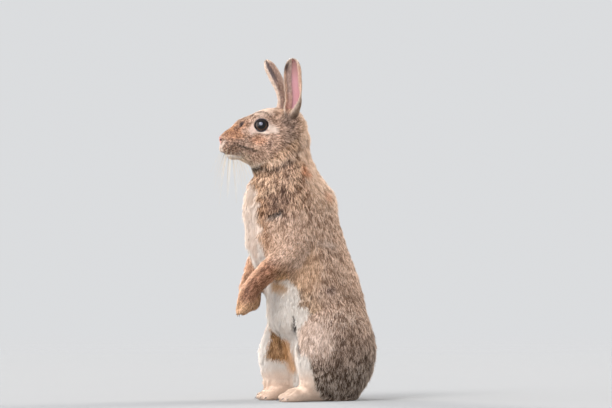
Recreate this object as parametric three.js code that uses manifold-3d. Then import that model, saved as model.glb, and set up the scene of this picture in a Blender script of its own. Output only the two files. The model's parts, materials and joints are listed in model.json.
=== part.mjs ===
// A wild European rabbit at life size, sitting bolt upright on its haunches with its forepaws
// hanging in front of its chest. Millimetres, +Z up. The rabbit looks along -X and its left side
// faces -Y. The hips are turned towards that side and the twist runs out of the body on the way up,
// so the head looks almost straight along -X.
//
// The flesh, out to the tips of the short coat, is one smooth field: forms with named sizes that run
// into each other. The field is meshed once for each piece, as finely as that piece needs, and
// parted from its neighbours by thin cuts.

import * as THREE from "three";
import { LoftGeometry } from "three/addons/geometries/LoftGeometry.js";
import { mergeVertices } from "three/addons/utils/BufferGeometryUtils.js";
import Module from "manifold-3d";

const wasm = await Module();
wasm.setup();

// ---------------------------------------------------------------- driving dimensions

const GAP = 0.3; // left between pieces that touch
const HIP_YAW = 35; // degrees that the hips are turned to the left
const HEAD_YAW = 10;
const HIP_HEIGHT = 70;
const CHEST_HEIGHT = 190;
const HEAD_HEIGHT = 305;
const SIDES = [
  { name: "left", sign: 1 },
  { name: "right", sign: -1 },
];

const COAT = {
  flank: 0x8d7763,
  rust: 0xa9764f,
  belly: 0xd9cbbb,
  dark: 0x6b594b,
  ear: 0x937a68,
  eye: 0x1d120c,
};

// The trunk from the skull to the seat: height above the floor, x of its middle, and half sizes
// across and front to back.
const TRUNK = [
  { height: 296, x: -14, wide: 21, deep: 23 },
  { height: 273, x: -15, wide: 30, deep: 33 },
  { height: 256, x: -13.5, wide: 35.5, deep: 40 },
  { height: 241, x: -9.5, wide: 40, deep: 50 },
  { height: 216, x: -9.5, wide: 43.5, deep: 55.5 },
  { height: 178, x: 0, wide: 46, deep: 57 },
  { height: 145, x: 12.5, wide: 49, deep: 57 },
  { height: 110, x: 19.5, wide: 50, deep: 60 },
  { height: 88, x: 22, wide: 50, deep: 59 },
  { height: 70, x: 30, wide: 50, deep: 50 },
  { height: 28, x: 31, wide: 42, deep: 40 },
];
const TRUNK_END = 30; // roundness of the seat below the last of these
const LEAN = { x: 31, y: 8, slope: 0.5 }; // the spine leans sideways as it leans forwards from here

const EYE = { radius: 9.2, ahead: 15.3, side: 13.2, up: 9.8 };
const LIDS = { radius: 8, thick: 1.5, long: 1.06, high: 0.9, tilt: -8, out: 5.4 };
const NOSTRIL = { halves: [3.6, 1.1, 2.2], ahead: 60, side: 3.4, up: -6.5, slant: -40, turn: 35 };
const CLEFT = { deep: 8, wide: 0.9, high: 10, ahead: 60.5, up: -15.5 };
const MOUTH = {
  front: 64,
  middle: 50,
  corner: 37,
  lip: -16,
  sag: -25,
  end: -22.4,
  open: 0.8,
  wide: 40,
};
const EAR = {
  width: 10.6,
  root: 0.62, // share of the width at the root
  taper: { from: 0.45, power: 2.6 },
  roll: { root: 150, tip: 62 }, // degrees that each half of the leaf is rolled
  thick: 2.6,
  rim: 1.3,
  rows: 14,
  columns: 8,
  gap: 0.4,
};

// ---------------------------------------------------------------- places on the body

const v = (x, y, z) => new THREE.Vector3(x, y, z);
const rad = THREE.MathUtils.degToRad;
const { lerp, clamp, smoothstep, mapLinear } = THREE.MathUtils;

const yawAt = (height) =>
  mapLinear(clamp(height, HIP_HEIGHT, HEAD_HEIGHT), HIP_HEIGHT, HEAD_HEIGHT, HIP_YAW, HEAD_YAW);
const aheadOf = (yaw) => v(-Math.cos(rad(yaw)), -Math.sin(rad(yaw)), 0);
const leftOf = (yaw) => v(Math.sin(rad(yaw)), -Math.cos(rad(yaw)), 0);
const spineY = (x) => LEAN.y + (x - LEAN.x) * LEAN.slope;

// The middle of the trunk at a height.
function spineAt(height) {
  const next = clamp(TRUNK.findIndex((s) => s.height <= height), 1, TRUNK.length - 1);
  const [a, b] = [TRUNK[next - 1], TRUNK[next]];
  const x = lerp(a.x, b.x, (a.height - height) / (a.height - b.height));
  return v(x, spineY(x), height);
}

// A region's own frame, with its origin on the spine: place(ahead, left, height) gives a point.
function frameAt(height, middle = spineAt(height)) {
  const yaw = yawAt(height);
  const place = (ahead, left, z) =>
    v(middle.x, middle.y, z).addScaledVector(aheadOf(yaw), ahead).addScaledVector(leftOf(yaw), left);
  return { yaw, place };
}
const hips = frameAt(HIP_HEIGHT);
const chest = frameAt(CHEST_HEIGHT);
const skull = frameAt(HEAD_HEIGHT, v(-30, -15, 0));
const inHead = (ahead, left, up) => skull.place(ahead, left, HEAD_HEIGHT + up);

// ---------------------------------------------------------------- forms of the field

// A form's field gives the signed distance of a point from it.

// How far q is outside the ellipsoid with these half sizes, measured in its own axes.
function ellipsoidDistance(q, halves) {
  const share = Math.hypot(q.x / halves.x, q.y / halves.y, q.z / halves.z);
  const slope = Math.hypot(q.x / halves.x ** 2, q.y / halves.y ** 2, q.z / halves.z ** 2);
  return slope < 1e-6 ? -Math.min(halves.x, halves.y, halves.z) : (share * (share - 1)) / slope;
}

// An ellipsoid with half sizes [ahead, across, up], turned by yaw and then tipped nose down by pitch.
function ellipsoid(centre, [ahead, across, up], yaw, pitch = 0) {
  const turn = new THREE.Matrix4()
    .makeBasis(aheadOf(yaw), leftOf(yaw), v(0, 0, 1))
    .multiply(new THREE.Matrix4().makeRotationY(rad(pitch)));
  const back = turn.clone().setPosition(centre).invert();
  const halves = v(ahead, across, up);
  const q = v(0, 0, 0);
  return (p) => ellipsoidDistance(q.copy(p).applyMatrix4(back), halves);
}

// A limb: stations { at, wide, deep, yaw } along a smooth spine. wide is half its size to the
// body's side, and deep is half its size across that. It ends in round caps of the lengths in ends.
function limb(stations, ends = null, steps = 6) {
  const spine = new THREE.CatmullRomCurve3(stations.map((s) => s.at), false, "catmullrom", 0.5);
  const sizes = new THREE.CatmullRomCurve3(
    stations.map((s) => v(s.wide, s.deep, s.yaw)), false, "catmullrom", 0.5);
  const count = (stations.length - 1) * steps;
  const samples = Array.from({ length: count + 1 }, (_, i) => {
    const [wide, deep, yaw] = sizes.getPoint(i / count).toArray();
    const along = spine.getTangent(i / count);
    const side = leftOf(yaw).addScaledVector(along, -leftOf(yaw).dot(along)).normalize();
    return { at: spine.getPoint(i / count), wide, deep, yaw, along, side, across: along.clone().cross(side) };
  });
  const [first, last] = [samples[0], samples[count]];
  const caps = ends ?? [Math.min(first.wide, first.deep), Math.min(last.wide, last.deep)];
  return { samples, caps };
}

// The field of a limb: the ellipse of the nearest place on its spine, or an end cap beyond the ends.
function limbField({ samples, caps }) {
  const rel = v(0, 0, 0);
  const q = v(0, 0, 0);
  const halves = v(0, 0, 0);
  return (p) => {
    let best = Infinity;
    let where = 0;
    for (let i = 0; i + 1 < samples.length; i++) {
      const [a, b] = [samples[i].at, samples[i + 1].at];
      const [dx, dy, dz] = [b.x - a.x, b.y - a.y, b.z - a.z];
      const [ex, ey, ez] = [p.x - a.x, p.y - a.y, p.z - a.z];
      const share = clamp((ex * dx + ey * dy + ez * dz) / (dx * dx + dy * dy + dz * dz), 0, 1);
      const away = Math.hypot(ex - dx * share, ey - dy * share, ez - dz * share);
      if (away < best) [best, where] = [away, i + share];
    }
    const i = Math.min(Math.floor(where), samples.length - 2);
    const [a, b, t] = [samples[i], samples[i + 1], where - i];
    rel.lerpVectors(a.at, b.at, t).sub(p).negate();
    const beyond = where === 0 || where === samples.length - 1;
    const cap = where === 0 ? caps[0] : caps[1];
    q.set(
      lerp(rel.dot(a.side), rel.dot(b.side), t),
      lerp(rel.dot(a.across), rel.dot(b.across), t),
      beyond ? lerp(rel.dot(a.along), rel.dot(b.along), t) : 0);
    halves.set(lerp(a.wide, b.wide, t), lerp(a.deep, b.deep, t), cap);
    return ellipsoidDistance(q, halves);
  };
}

// The field of a limb that stands upright: the ellipse at a point's own height, or an end cap
// beyond the ends.
function columnField({ samples, caps }) {
  const q = v(0, 0, 0);
  const halves = v(0, 0, 0);
  const [top, bottom] = [samples[0].at.z, samples.at(-1).at.z];
  return (p) => {
    const height = clamp(p.z, bottom, top);
    const next = clamp(samples.findIndex((s) => s.at.z <= height), 1, samples.length - 1);
    const [a, b] = [samples[next - 1], samples[next]];
    const t = clamp((a.at.z - height) / (a.at.z - b.at.z), 0, 1);
    const yaw = lerp(a.yaw, b.yaw, t);
    const rel = p.clone().sub(a.at.clone().lerp(b.at, t));
    q.set(rel.dot(aheadOf(yaw)), rel.dot(leftOf(yaw)), p.z === height ? 0 : rel.z);
    halves.set(lerp(a.deep, b.deep, t), lerp(a.wide, b.wide, t), p.z > top ? caps[0] : caps[1]);
    return ellipsoidDistance(q, halves);
  };
}

// The smaller of two distances, rounded over a width of reach.
function blend(a, b, reach) {
  const share = Math.max(reach - Math.abs(a - b), 0) / reach;
  return Math.min(a, b) - (share * share * reach) / 4;
}

// ---------------------------------------------------------------- the rabbit's forms

const trunk = limb(
  TRUNK.map(({ height, x, wide, deep }) => ({ at: v(x, spineY(x), height), wide, deep, yaw: yawAt(height) })),
  [12, TRUNK_END]);

// Skull and muzzle from the nape to the nose.
const head = limb(
  [
    { at: inHead(-30, 0, 0), wide: 19, deep: 19 },
    { at: inHead(-11, 0, 0), wide: 22.5, deep: 30.5 },
    { at: inHead(8, 0, -3.5), wide: 19.5, deep: 33 },
    { at: inHead(26, 0, -5.5), wide: 15.5, deep: 27.5 },
    { at: inHead(41, 0, -8.5), wide: 12.5, deep: 20 },
    { at: inHead(53, 0, -10), wide: 9, deep: 12.5 },
  ].map((s) => ({ ...s, yaw: HEAD_YAW })),
  [12, 6]);

// Forms that one side of the head has: [centre, half sizes, pitch, blend].
const faceForms = (sign) => [
  { at: inHead(-2, sign * 16.5, -14), halves: [22, 11, 18], pitch: 20, reach: 12 }, // cheek
  { at: inHead(48, sign * 6.5, -15), halves: [11.5, 7.5, 9.5], pitch: 15, reach: 4 }, // whisker pad
  { at: inHead(15, sign * 11, 9), halves: [15, 7, 12], pitch: 10, reach: 8 }, // swell round the eye
  { at: inHead(14, sign * 11.5, 21.5), halves: [11, 5, 4], pitch: 15, reach: 6 }, // brow
  { at: inHead(-22, sign * 10, 17), halves: [11, 9, 12], pitch: 0, reach: 10 }, // ear root
];
const snout = [
  { at: inHead(57.5, 0, -5.5), halves: [5, 6.5, 5.5], pitch: 10, reach: 5 }, // nose
  { at: inHead(45, 0, -25), halves: [9, 6.5, 5], pitch: 5, reach: 4 }, // chin
];

// Places of a foreleg in the frame of the chest: [ahead, aside, height] at the shoulder, the upper
// arm, the elbow, the middle of the forearm, the wrist and the knuckles. The right forearm hangs
// steeper.
const FORELEG = {
  left: [[18, 25, 208], [13, 32, 188], [22, 34, 169], [43, 30, 152], [65, 22, 128], [72, 20, 111]],
  right: [[18, 25, 208], [13, 32, 188], [20, 34, 171], [37, 30, 155], [48, 21, 129], [51, 18, 113]],
};
const FORELEG_SIZES = [[15, 20], [15, 20], [14, 16], [12, 13.8], [10.5, 11], [11, 9.5]];
const foreleg = (sign) =>
  limb(
    FORELEG[sign > 0 ? "left" : "right"].map(([ahead, aside, height], i) => {
      const [wide, deep] = FORELEG_SIZES[i];
      return { at: chest.place(ahead, sign * aside, height), wide, deep, yaw: chest.yaw };
    }),
    [12, 8]);
const wrist = (sign) => foreleg(sign).samples.at(-7);

// Fingers of a hanging forepaw, fanned across it.
const fingers = (sign) =>
  [-1.5, -0.5, 0.5, 1.5].map((place) => {
    const root = foreleg(sign).samples.at(-1);
    const length = 12 - Math.abs(place) * 2;
    const knuckle = root.at.clone().addScaledVector(root.side, place * 5);
    const tip = root.at.clone()
      .addScaledVector(root.side, place * 4.6)
      .addScaledVector(aheadOf(chest.yaw), length * 0.62)
      .add(v(0, 0, -length * 0.82));
    return limb(
      [
        { at: knuckle, wide: 3.6, deep: 5 },
        { at: tip, wide: 3.3, deep: 4 },
      ].map((s) => ({ ...s, yaw: chest.yaw })),
      [4, 4], 2);
  });

const haunch = (sign) => ({ at: hips.place(5, sign * 33, 56), halves: [50, 30, 61] });
const knee = (sign) =>
  ({ at: hips.place(sign > 0 ? 37 : 42, sign * 35, 46), halves: [25, 20, 42] });

// The hind foot lies flat from the heel to the toes.
const FOOT = { heel: { left: -4, right: -14 }, aside: 29, length: 88, height: 9 };
const footPlace = (sign, share, aside = 0, height = FOOT.height) =>
  hips.place(
    FOOT.heel[sign > 0 ? "left" : "right"] + FOOT.length * share, sign * FOOT.aside + aside, height);
const foot = (sign) =>
  limb(
    [
      { at: footPlace(sign, 0.08, 0, 11), wide: 10.5, deep: 12 },
      { at: footPlace(sign, 0.45, 0, 9.5), wide: 11.5, deep: 10.5 },
      { at: footPlace(sign, 0.78, 0, 7.5), wide: 13, deep: 8.5 },
    ].map((s) => ({ ...s, yaw: hips.yaw })),
    [7, 8]);
const toes = (sign) =>
  [-1.5, -0.5, 0.5, 1.5].map((place) =>
    limb(
      [
        { at: footPlace(sign, 0.76, place * 6, 6.5), wide: 3.8, deep: 7 },
        { at: footPlace(sign, 0.95 - Math.abs(place) * 0.03, place * 6.4, 4.5), wide: 3.7, deep: 5 },
      ].map((s) => ({ ...s, yaw: hips.yaw })),
      [4, 4.5], 2));

const tail = limb(
  [
    { at: hips.place(-34, 0, 18), wide: 11, deep: 10 },
    { at: hips.place(-48, 0, 30), wide: 13, deep: 12 },
    { at: hips.place(-53, 0, 48), wide: 12, deep: 10 },
    { at: hips.place(-53, 0, 62), wide: 7.5, deep: 7 },
  ].map((s) => ({ ...s, yaw: hips.yaw })),
  [10, 8]);

// A claw is a small cone out of the end of each finger or toe.
const CLAW = { radius: 1.5, length: 7, sides: 6 };

// ---------------------------------------------------------------- the whole field

// The forms that are blended into the trunk, one after another, each over its own reach.
const lump = (form, yaw, reach = form.reach) =>
  ({ field: ellipsoid(form.at, form.halves, yaw, form.pitch), reach });
const tube = (form, reach) => ({ field: limbField(form), reach });
const headForms = [
  tube(head, 16),
  ...[...SIDES.flatMap(({ sign }) => faceForms(sign)), ...snout].map((form) => lump(form, HEAD_YAW)),
];
const armForms = (sign) => [tube(foreleg(sign), 6), ...fingers(sign).map((finger) => tube(finger, 2.5))];
const legForms = (sign) => [
  lump(haunch(sign), hips.yaw, 12),
  lump(knee(sign), hips.yaw, 14),
  tube(foot(sign), 5),
  ...toes(sign).map((toe) => tube(toe, 2.5)),
];
const trunkField = columnField(trunk);
const fleshOf = (forms) => (p) =>
  forms.reduce((near, { field, reach }) => blend(near, field(p), reach), trunkField(p));

// ---------------------------------------------------------------- meshing

// A three.js geometry as a solid.
function solidOf(geometry) {
  const bare = geometry.index ? geometry.toNonIndexed() : geometry.clone();
  const merged = mergeVertices(
    new THREE.BufferGeometry().setAttribute("position", bare.getAttribute("position")), 1e-4);
  return new wasm.Manifold(new wasm.Mesh({
    numProp: 3,
    vertProperties: new Float32Array(merged.attributes.position.array),
    triVerts: new Uint32Array(merged.index.array),
  }));
}

// A solid as a three.js geometry.
function geometryOf(solid) {
  const mesh = solid.getMesh();
  const positions = new Float32Array(mesh.numVert * 3);
  for (let i = 0; i < mesh.numVert; i++) {
    positions.set(mesh.vertProperties.subarray(i * mesh.numProp, i * mesh.numProp + 3), i * 3);
  }
  const geometry = new THREE.BufferGeometry();
  geometry.setAttribute("position", new THREE.BufferAttribute(positions, 3));
  geometry.setIndex(new THREE.BufferAttribute(new Uint32Array(mesh.triVerts), 1));
  geometry.computeVertexNormals();
  return geometry;
}

// Moves p down the field's slope onto its zero.
function settle(p, field, most) {
  const [step, probe, slope] = [0.05, v(0, 0, 0), v(0, 0, 0)];
  const start = p.clone();
  for (let round = 0; round < 3; round++) {
    const here = field(p);
    for (const axis of ["x", "y", "z"]) {
      probe.copy(p)[axis] += step;
      slope[axis] = (field(probe) - here) / step;
    }
    p.addScaledVector(slope, -here / Math.max(slope.lengthSq(), 0.2));
  }
  return p.distanceTo(start) > most ? start : p;
}

// Fills one corner of each square of the grid whose inside corners only meet diagonally, so that no
// two sheets of the net share an edge.
function partSheets(values, [nx, ny, nz], cell) {
  const strides = [1, nx, nx * ny];
  const filled = -0.02 * cell;
  for (let changed = true; changed; ) {
    changed = false;
    for (let k = 1; k + 2 < nz; k++)
      for (let j = 1; j + 2 < ny; j++)
        for (let i = 1; i + 2 < nx; i++)
          for (const [u, w] of [[0, 1], [1, 2], [2, 0]]) {
            const at = k * strides[2] + j * strides[1] + i;
            const [a, b, c, d] = [at, at + strides[u], at + strides[u] + strides[w], at + strides[w]];
            const inside = [a, b, c, d].map((n) => values[n] < 0);
            if (inside[0] !== inside[2] || inside[1] !== inside[3] || inside[0] === inside[1]) continue;
            const open = inside[0] ? [b, d] : [a, c];
            values[values[open[0]] < values[open[1]] ? open[0] : open[1]] = filled;
            changed = true;
          }
  }
}

// The closed surface on which field is zero inside box, as a net: one vertex for each cell that it
// crosses.
function netOf(field, box, cell) {
  const counts = box.getSize(v(0, 0, 0)).divideScalar(cell).ceil().addScalar(1).toArray();
  const [nx, ny, nz] = counts;
  const indexOf = (i, j, k) => (k * ny + j) * nx + i;
  const values = new Float32Array(nx * ny * nz);
  const p = v(0, 0, 0);
  for (let k = 0; k < nz; k++)
    for (let j = 0; j < ny; j++)
      for (let i = 0; i < nx; i++) {
        const onEdge = [i, j, k].some((n, axis) => n === 0 || n === counts[axis] - 1);
        p.set(i, j, k).multiplyScalar(cell).add(box.min);
        values[indexOf(i, j, k)] = onEdge ? cell : field(p);
      }

  partSheets(values, counts, cell);

  const corners = [0, 1, 2, 3, 4, 5, 6, 7].map((n) => [n & 1, (n >> 1) & 1, (n >> 2) & 1]);
  const apart = (a, b) => a.filter((value, axis) => value !== b[axis]).length;
  const edges = corners.flatMap((a, n) =>
    corners.slice(n + 1).filter((b) => apart(a, b) === 1).map((b) => [a, b]));
  const vertices = new Map();
  const positions = [];
  for (let k = 0; k + 1 < nz; k++)
    for (let j = 0; j + 1 < ny; j++)
      for (let i = 0; i + 1 < nx; i++) {
        const at = (c) => values[indexOf(i + c[0], j + c[1], k + c[2])];
        const crossed = edges.filter(([a, b]) => at(a) < 0 !== at(b) < 0);
        if (!crossed.length) continue;
        const middle = v(0, 0, 0);
        for (const [a, b] of crossed) {
          const share = at(a) / (at(a) - at(b));
          middle.add(v(...a).lerp(v(...b), share));
        }
        middle.divideScalar(crossed.length).add(v(i, j, k)).multiplyScalar(cell).add(box.min);
        vertices.set(indexOf(i, j, k), positions.length / 3);
        positions.push(...settle(middle, field, cell * 0.6).toArray());
      }

  const triangles = [];
  const point = (n) => v(...positions.slice(n * 3, n * 3 + 3));
  const quad = (a, b, c, d) => {
    const shorter = point(a).distanceTo(point(c)) < point(b).distanceTo(point(d));
    triangles.push(...(shorter ? [a, b, c, a, c, d] : [b, c, d, b, d, a]));
  };
  for (let k = 0; k + 1 < nz; k++)
    for (let j = 0; j + 1 < ny; j++)
      for (let i = 0; i + 1 < nx; i++) {
        const here = values[indexOf(i, j, k)] < 0;
        const around = [
          [indexOf(i + 1, j, k), [[0, 0, 0], [0, -1, 0], [0, -1, -1], [0, 0, -1]]],
          [indexOf(i, j + 1, k), [[0, 0, 0], [0, 0, -1], [-1, 0, -1], [-1, 0, 0]]],
          [indexOf(i, j, k + 1), [[0, 0, 0], [-1, 0, 0], [-1, -1, 0], [0, -1, 0]]],
        ];
        for (const [other, cells] of around) {
          if (values[other] < 0 === here) continue;
          const ring = cells.map(([x, y, z]) => vertices.get(indexOf(i + x, j + y, k + z)));
          quad(...(here ? ring : ring.reverse()));
        }
      }
  const geometry = new THREE.BufferGeometry();
  geometry.setAttribute("position", new THREE.Float32BufferAttribute(positions, 3));
  geometry.setIndex(triangles);
  return geometry;
}

// ---------------------------------------------------------------- cutting tools

const WORLD = 900; // longer than anything here

// All that lies on the side of a plane that normal points to, moved along normal by shift.
function beyondPlane(point, normal, shift = 0) {
  const n = normal.clone().normalize();
  const box = new THREE.BoxGeometry(WORLD, WORLD, WORLD);
  box.applyQuaternion(new THREE.Quaternion().setFromUnitVectors(v(0, 0, 1), n));
  const centre = point.clone().addScaledVector(n, WORLD / 2 + shift);
  return solidOf(box.translate(...centre.toArray()));
}

// A closed tube round a limb, grow wider than it.
function sleeve({ samples, caps }, grow, around = 12) {
  const rings = [
    ...[0.98, 0.75].map((lift) => ({ sample: samples[0], lift: -lift, cap: caps[0] })),
    ...samples.filter((_, i) => i % 3 === 0).map((sample) => ({ sample, lift: 0, cap: 0 })),
    ...[0.75, 0.98].map((lift) => ({ sample: samples.at(-1), lift, cap: caps[1] })),
  ];
  const sections = rings.map(({ sample, lift, cap }) => {
    const width = Math.sqrt(1 - lift * lift);
    const middle = sample.at.clone().addScaledVector(sample.along, lift * (cap + grow));
    return Array.from({ length: around }, (_, n) => {
      const angle = (2 * Math.PI * n) / around;
      return middle.clone()
        .addScaledVector(sample.side, Math.cos(angle) * (sample.wide + grow) * width)
        .addScaledVector(sample.across, Math.sin(angle) * (sample.deep + grow) * width);
    });
  });
  return solidOf(new LoftGeometry(sections, { capStart: true, capEnd: true }));
}

// An ellipsoid like one of the field's, grow bigger.
function ball({ at, halves, pitch = 0 }, yaw, grow, rings = 18) {
  const globe = new THREE.SphereGeometry(1, rings, Math.round(rings * 0.7));
  globe.scale(...halves.map((half) => half + grow));
  const turn = new THREE.Matrix4()
    .makeBasis(aheadOf(yaw), leftOf(yaw), v(0, 0, 1))
    .multiply(new THREE.Matrix4().makeRotationY(rad(pitch)));
  return solidOf(globe.applyMatrix4(turn.setPosition(at)));
}

// The largest closed piece of a solid.
const largest = (solid) => solid.decompose().sort((a, b) => b.volume() - a.volume())[0];

// ---------------------------------------------------------------- cuts between the pieces

// Each cut takes the gap that it is grown by.
const THROAT = { point: v(-53, -15, 266), normal: v(-0.62, 0, 0.785) };
const NECK_ROOT = { point: v(-16, -15, 247), normal: v(-0.22, 0, 0.976) };
const SEAM = { tail: 1.5, arm: 4, haunch: 8 }; // how far a piece reaches beyond its own form
const FOOT_BLOCK = { length: 123, wide: 34, high: 23, middle: 10 };
const floor = beyondPlane(v(0, 0, 0), v(0, 0, 1));

const headCut = (grow) => beyondPlane(THROAT.point, THROAT.normal, -grow);
const neckCut = (grow) => beyondPlane(NECK_ROOT.point, NECK_ROOT.normal, -grow);
const tailCut = (grow) => sleeve(tail, SEAM.tail + grow);
const armCut = (sign) => (grow) => sleeve(foreleg(sign), SEAM.arm + grow, 14);
const pawCut = (sign) => (grow) => {
  const { at, along } = wrist(sign);
  const near = { at: at.clone().addScaledVector(along, 14), halves: [23, 21, 23] };
  return beyondPlane(at, along, -grow).intersect(ball(near, chest.yaw, grow, 12));
};
const footCut = (sign) => (grow) => {
  const { length, wide, high, middle } = FOOT_BLOCK;
  const box = new THREE.BoxGeometry(length + 2 * grow, wide + 2 * grow, high + 2 * grow);
  box.rotateZ(rad(hips.yaw)).translate(...footPlace(sign, 0.5, 0, middle).toArray());
  return solidOf(box);
};
const haunchCut = (sign) => (grow) =>
  ball(haunch(sign), hips.yaw, SEAM.haunch + grow)
    .add(ball(knee(sign), hips.yaw, SEAM.haunch + grow, 14))
    .intersect(beyondPlane(hips.place(0, sign * 3, 0), leftOf(hips.yaw).multiplyScalar(sign), -grow));

const between = (low, high) => new THREE.Box3(low, high);
const around = (at, reach) => between(at.clone().subScalar(reach), at.clone().addScalar(reach));

// The pieces in the order in which they take their share of the flesh. Each is the trunk with its
// own forms, meshed in its own box with its own cell. The torso takes what is left of the trunk.
const claims = [
  { name: "head", color: COAT.flank, forms: headForms, cut: headCut, cell: 4.2,
    box: between(v(-100, -50, 245), v(25, 22, 350)) },
  { name: "neck", color: COAT.rust, forms: headForms, cut: neckCut, cell: 7,
    box: between(v(-75, -75, 215), v(55, 45, 330)) },
  { name: "tail", color: COAT.belly, forms: [tube(tail, 5)], cut: tailCut, cell: 6,
    box: around(hips.place(-48, 0, 38), 36) },
  ...SIDES.flatMap(({ name, sign }) => [
    { name: `forepaw_${name}`, color: COAT.rust, forms: armForms(sign), cut: pawCut(sign), cell: 4,
      box: around(wrist(sign).at, 48) },
    { name: `foreleg_${name}`, color: COAT.rust, forms: armForms(sign), cut: armCut(sign), cell: 6.5,
      box: around(chest.place(25, sign * 28, 165), 80) },
    { name: `hindfoot_${name}`, color: COAT.belly, forms: legForms(sign), cut: footCut(sign), cell: 4.6,
      box: around(footPlace(sign, 0.5), 66) },
    { name: `hindleg_${name}`, color: COAT.dark, forms: legForms(sign), cut: haunchCut(sign), cell: 9.5,
      box: around(haunch(sign).at, 90) },
  ]),
  { name: "torso", color: COAT.flank, forms: [], cut: null, cell: 10,
    box: between(v(-100, -95, -20), v(120, 95, 275)) },
];

const pieces = new Map();
claims.forEach(({ name, color, forms, cut, cell, box }, i) => {
  let solid = solidOf(netOf(fleshOf(forms), box, cell)).intersect(floor);
  if (cut) solid = solid.intersect(cut(0));
  for (const earlier of claims.slice(0, i)) solid = solid.subtract(earlier.cut(GAP));
  pieces.set(name, { solid: largest(solid), color });
});

function claw({ samples, caps }) {
  const { at, along } = samples.at(-1);
  const cone = new THREE.ConeGeometry(CLAW.radius, CLAW.length, CLAW.sides);
  cone.applyQuaternion(new THREE.Quaternion().setFromUnitVectors(v(0, 1, 0), along));
  return solidOf(cone.translate(...at.clone().addScaledVector(along, caps[1] + 1).toArray()));
}
for (const { name, sign } of SIDES) {
  for (const [node, digits] of [[`forepaw_${name}`, fingers(sign)], [`hindfoot_${name}`, toes(sign)]]) {
    const piece = pieces.get(node);
    piece.solid = largest(digits.reduce((solid, digit) => solid.add(claw(digit)), piece.solid));
  }
}

// ---------------------------------------------------------------- eyes, lids, nose and mouth

const eyePlace = (sign) => inHead(EYE.ahead, sign * EYE.side, EYE.up);
// Outwards from an eye: a little ahead and up.
const gaze = (sign) => leftOf(HEAD_YAW).multiplyScalar(sign).addScaledVector(aheadOf(HEAD_YAW), 0.22)
  .add(v(0, 0, 0.16)).normalize();

function globe(radius, detail) {
  return new THREE.SphereGeometry(radius, detail, Math.round(detail * 0.7));
}

// The ring of the lids, an oval longer from front to back.
function lids(sign) {
  const ring = new THREE.TorusGeometry(LIDS.radius, LIDS.thick, 6, 20).scale(LIDS.long, LIDS.high, 1);
  ring.rotateZ(rad(LIDS.tilt));
  const turn = new THREE.Matrix4().lookAt(v(0, 0, 0), gaze(sign).negate(), v(0, 0, 1));
  turn.setPosition(eyePlace(sign).addScaledVector(gaze(sign), LIDS.out));
  return solidOf(ring.applyMatrix4(turn));
}

// A slit: a flat crescent that is swung down from the nose.
function nostril(sign) {
  const slit = globe(1, 8).scale(...NOSTRIL.halves).rotateY(rad(NOSTRIL.slant));
  const at = inHead(NOSTRIL.ahead, sign * NOSTRIL.side, NOSTRIL.up);
  slit.rotateZ(rad(HEAD_YAW - sign * NOSTRIL.turn));
  return solidOf(slit.translate(...at.toArray()));
}

// The groove from the nose down to the mouth.
const cleft = () => {
  const slot = new THREE.BoxGeometry(CLEFT.deep, CLEFT.wide, CLEFT.high).rotateZ(rad(HEAD_YAW));
  return solidOf(slot.translate(...inHead(CLEFT.ahead, 0, CLEFT.up).toArray()));
};

// The line of the mouth: a thin curved slot that is open round the front of the muzzle.
function mouth() {
  const { front, middle, corner, lip, sag, end, open, wide } = MOUTH;
  const line = new THREE.Shape()
    .moveTo(corner, end - open / 2)
    .quadraticCurveTo(middle, sag - open, front, lip - open)
    .lineTo(front, lip)
    .quadraticCurveTo(middle, sag, corner, end);
  const slot = new THREE.ExtrudeGeometry(line, { depth: wide, bevelEnabled: false, curveSegments: 5 });
  slot.translate(0, 0, -wide / 2).applyMatrix4(
    new THREE.Matrix4()
      .makeBasis(aheadOf(HEAD_YAW), v(0, 0, 1), leftOf(HEAD_YAW).negate())
      .setPosition(inHead(0, 0, 0)));
  return solidOf(slot);
}

let face = pieces.get("head").solid;
for (const { name, sign } of SIDES) {
  const eye = globe(EYE.radius, 14).translate(...eyePlace(sign).toArray());
  const socket = globe(EYE.radius + GAP, 16).translate(...eyePlace(sign).toArray());
  face = face.add(lids(sign)).subtract(solidOf(socket)).subtract(nostril(sign));
  pieces.set(`eye_${name}`, { solid: solidOf(eye), color: COAT.eye });
}
face = largest(face.subtract(cleft()).subtract(mouth()));
pieces.get("head").solid = face;

// ---------------------------------------------------------------- ears

// Axis and mouth of each ear's cup, in the head's frame.
const earAxis = {
  left: [inHead(-17, 10, 13), inHead(-21, 12.5, 32), inHead(-20.5, 15, 58), inHead(-20, 17, 87)],
  right: [inHead(-17, -10, 13), inHead(-15, -12, 32), inHead(-9, -15, 58), inHead(5, -18, 86)],
};
const earMouth = {
  left: leftOf(HEAD_YAW).addScaledVector(aheadOf(HEAD_YAW), 0.35).normalize(),
  right: leftOf(HEAD_YAW).negate().addScaledVector(aheadOf(HEAD_YAW), 0.9).normalize(),
};

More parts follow.
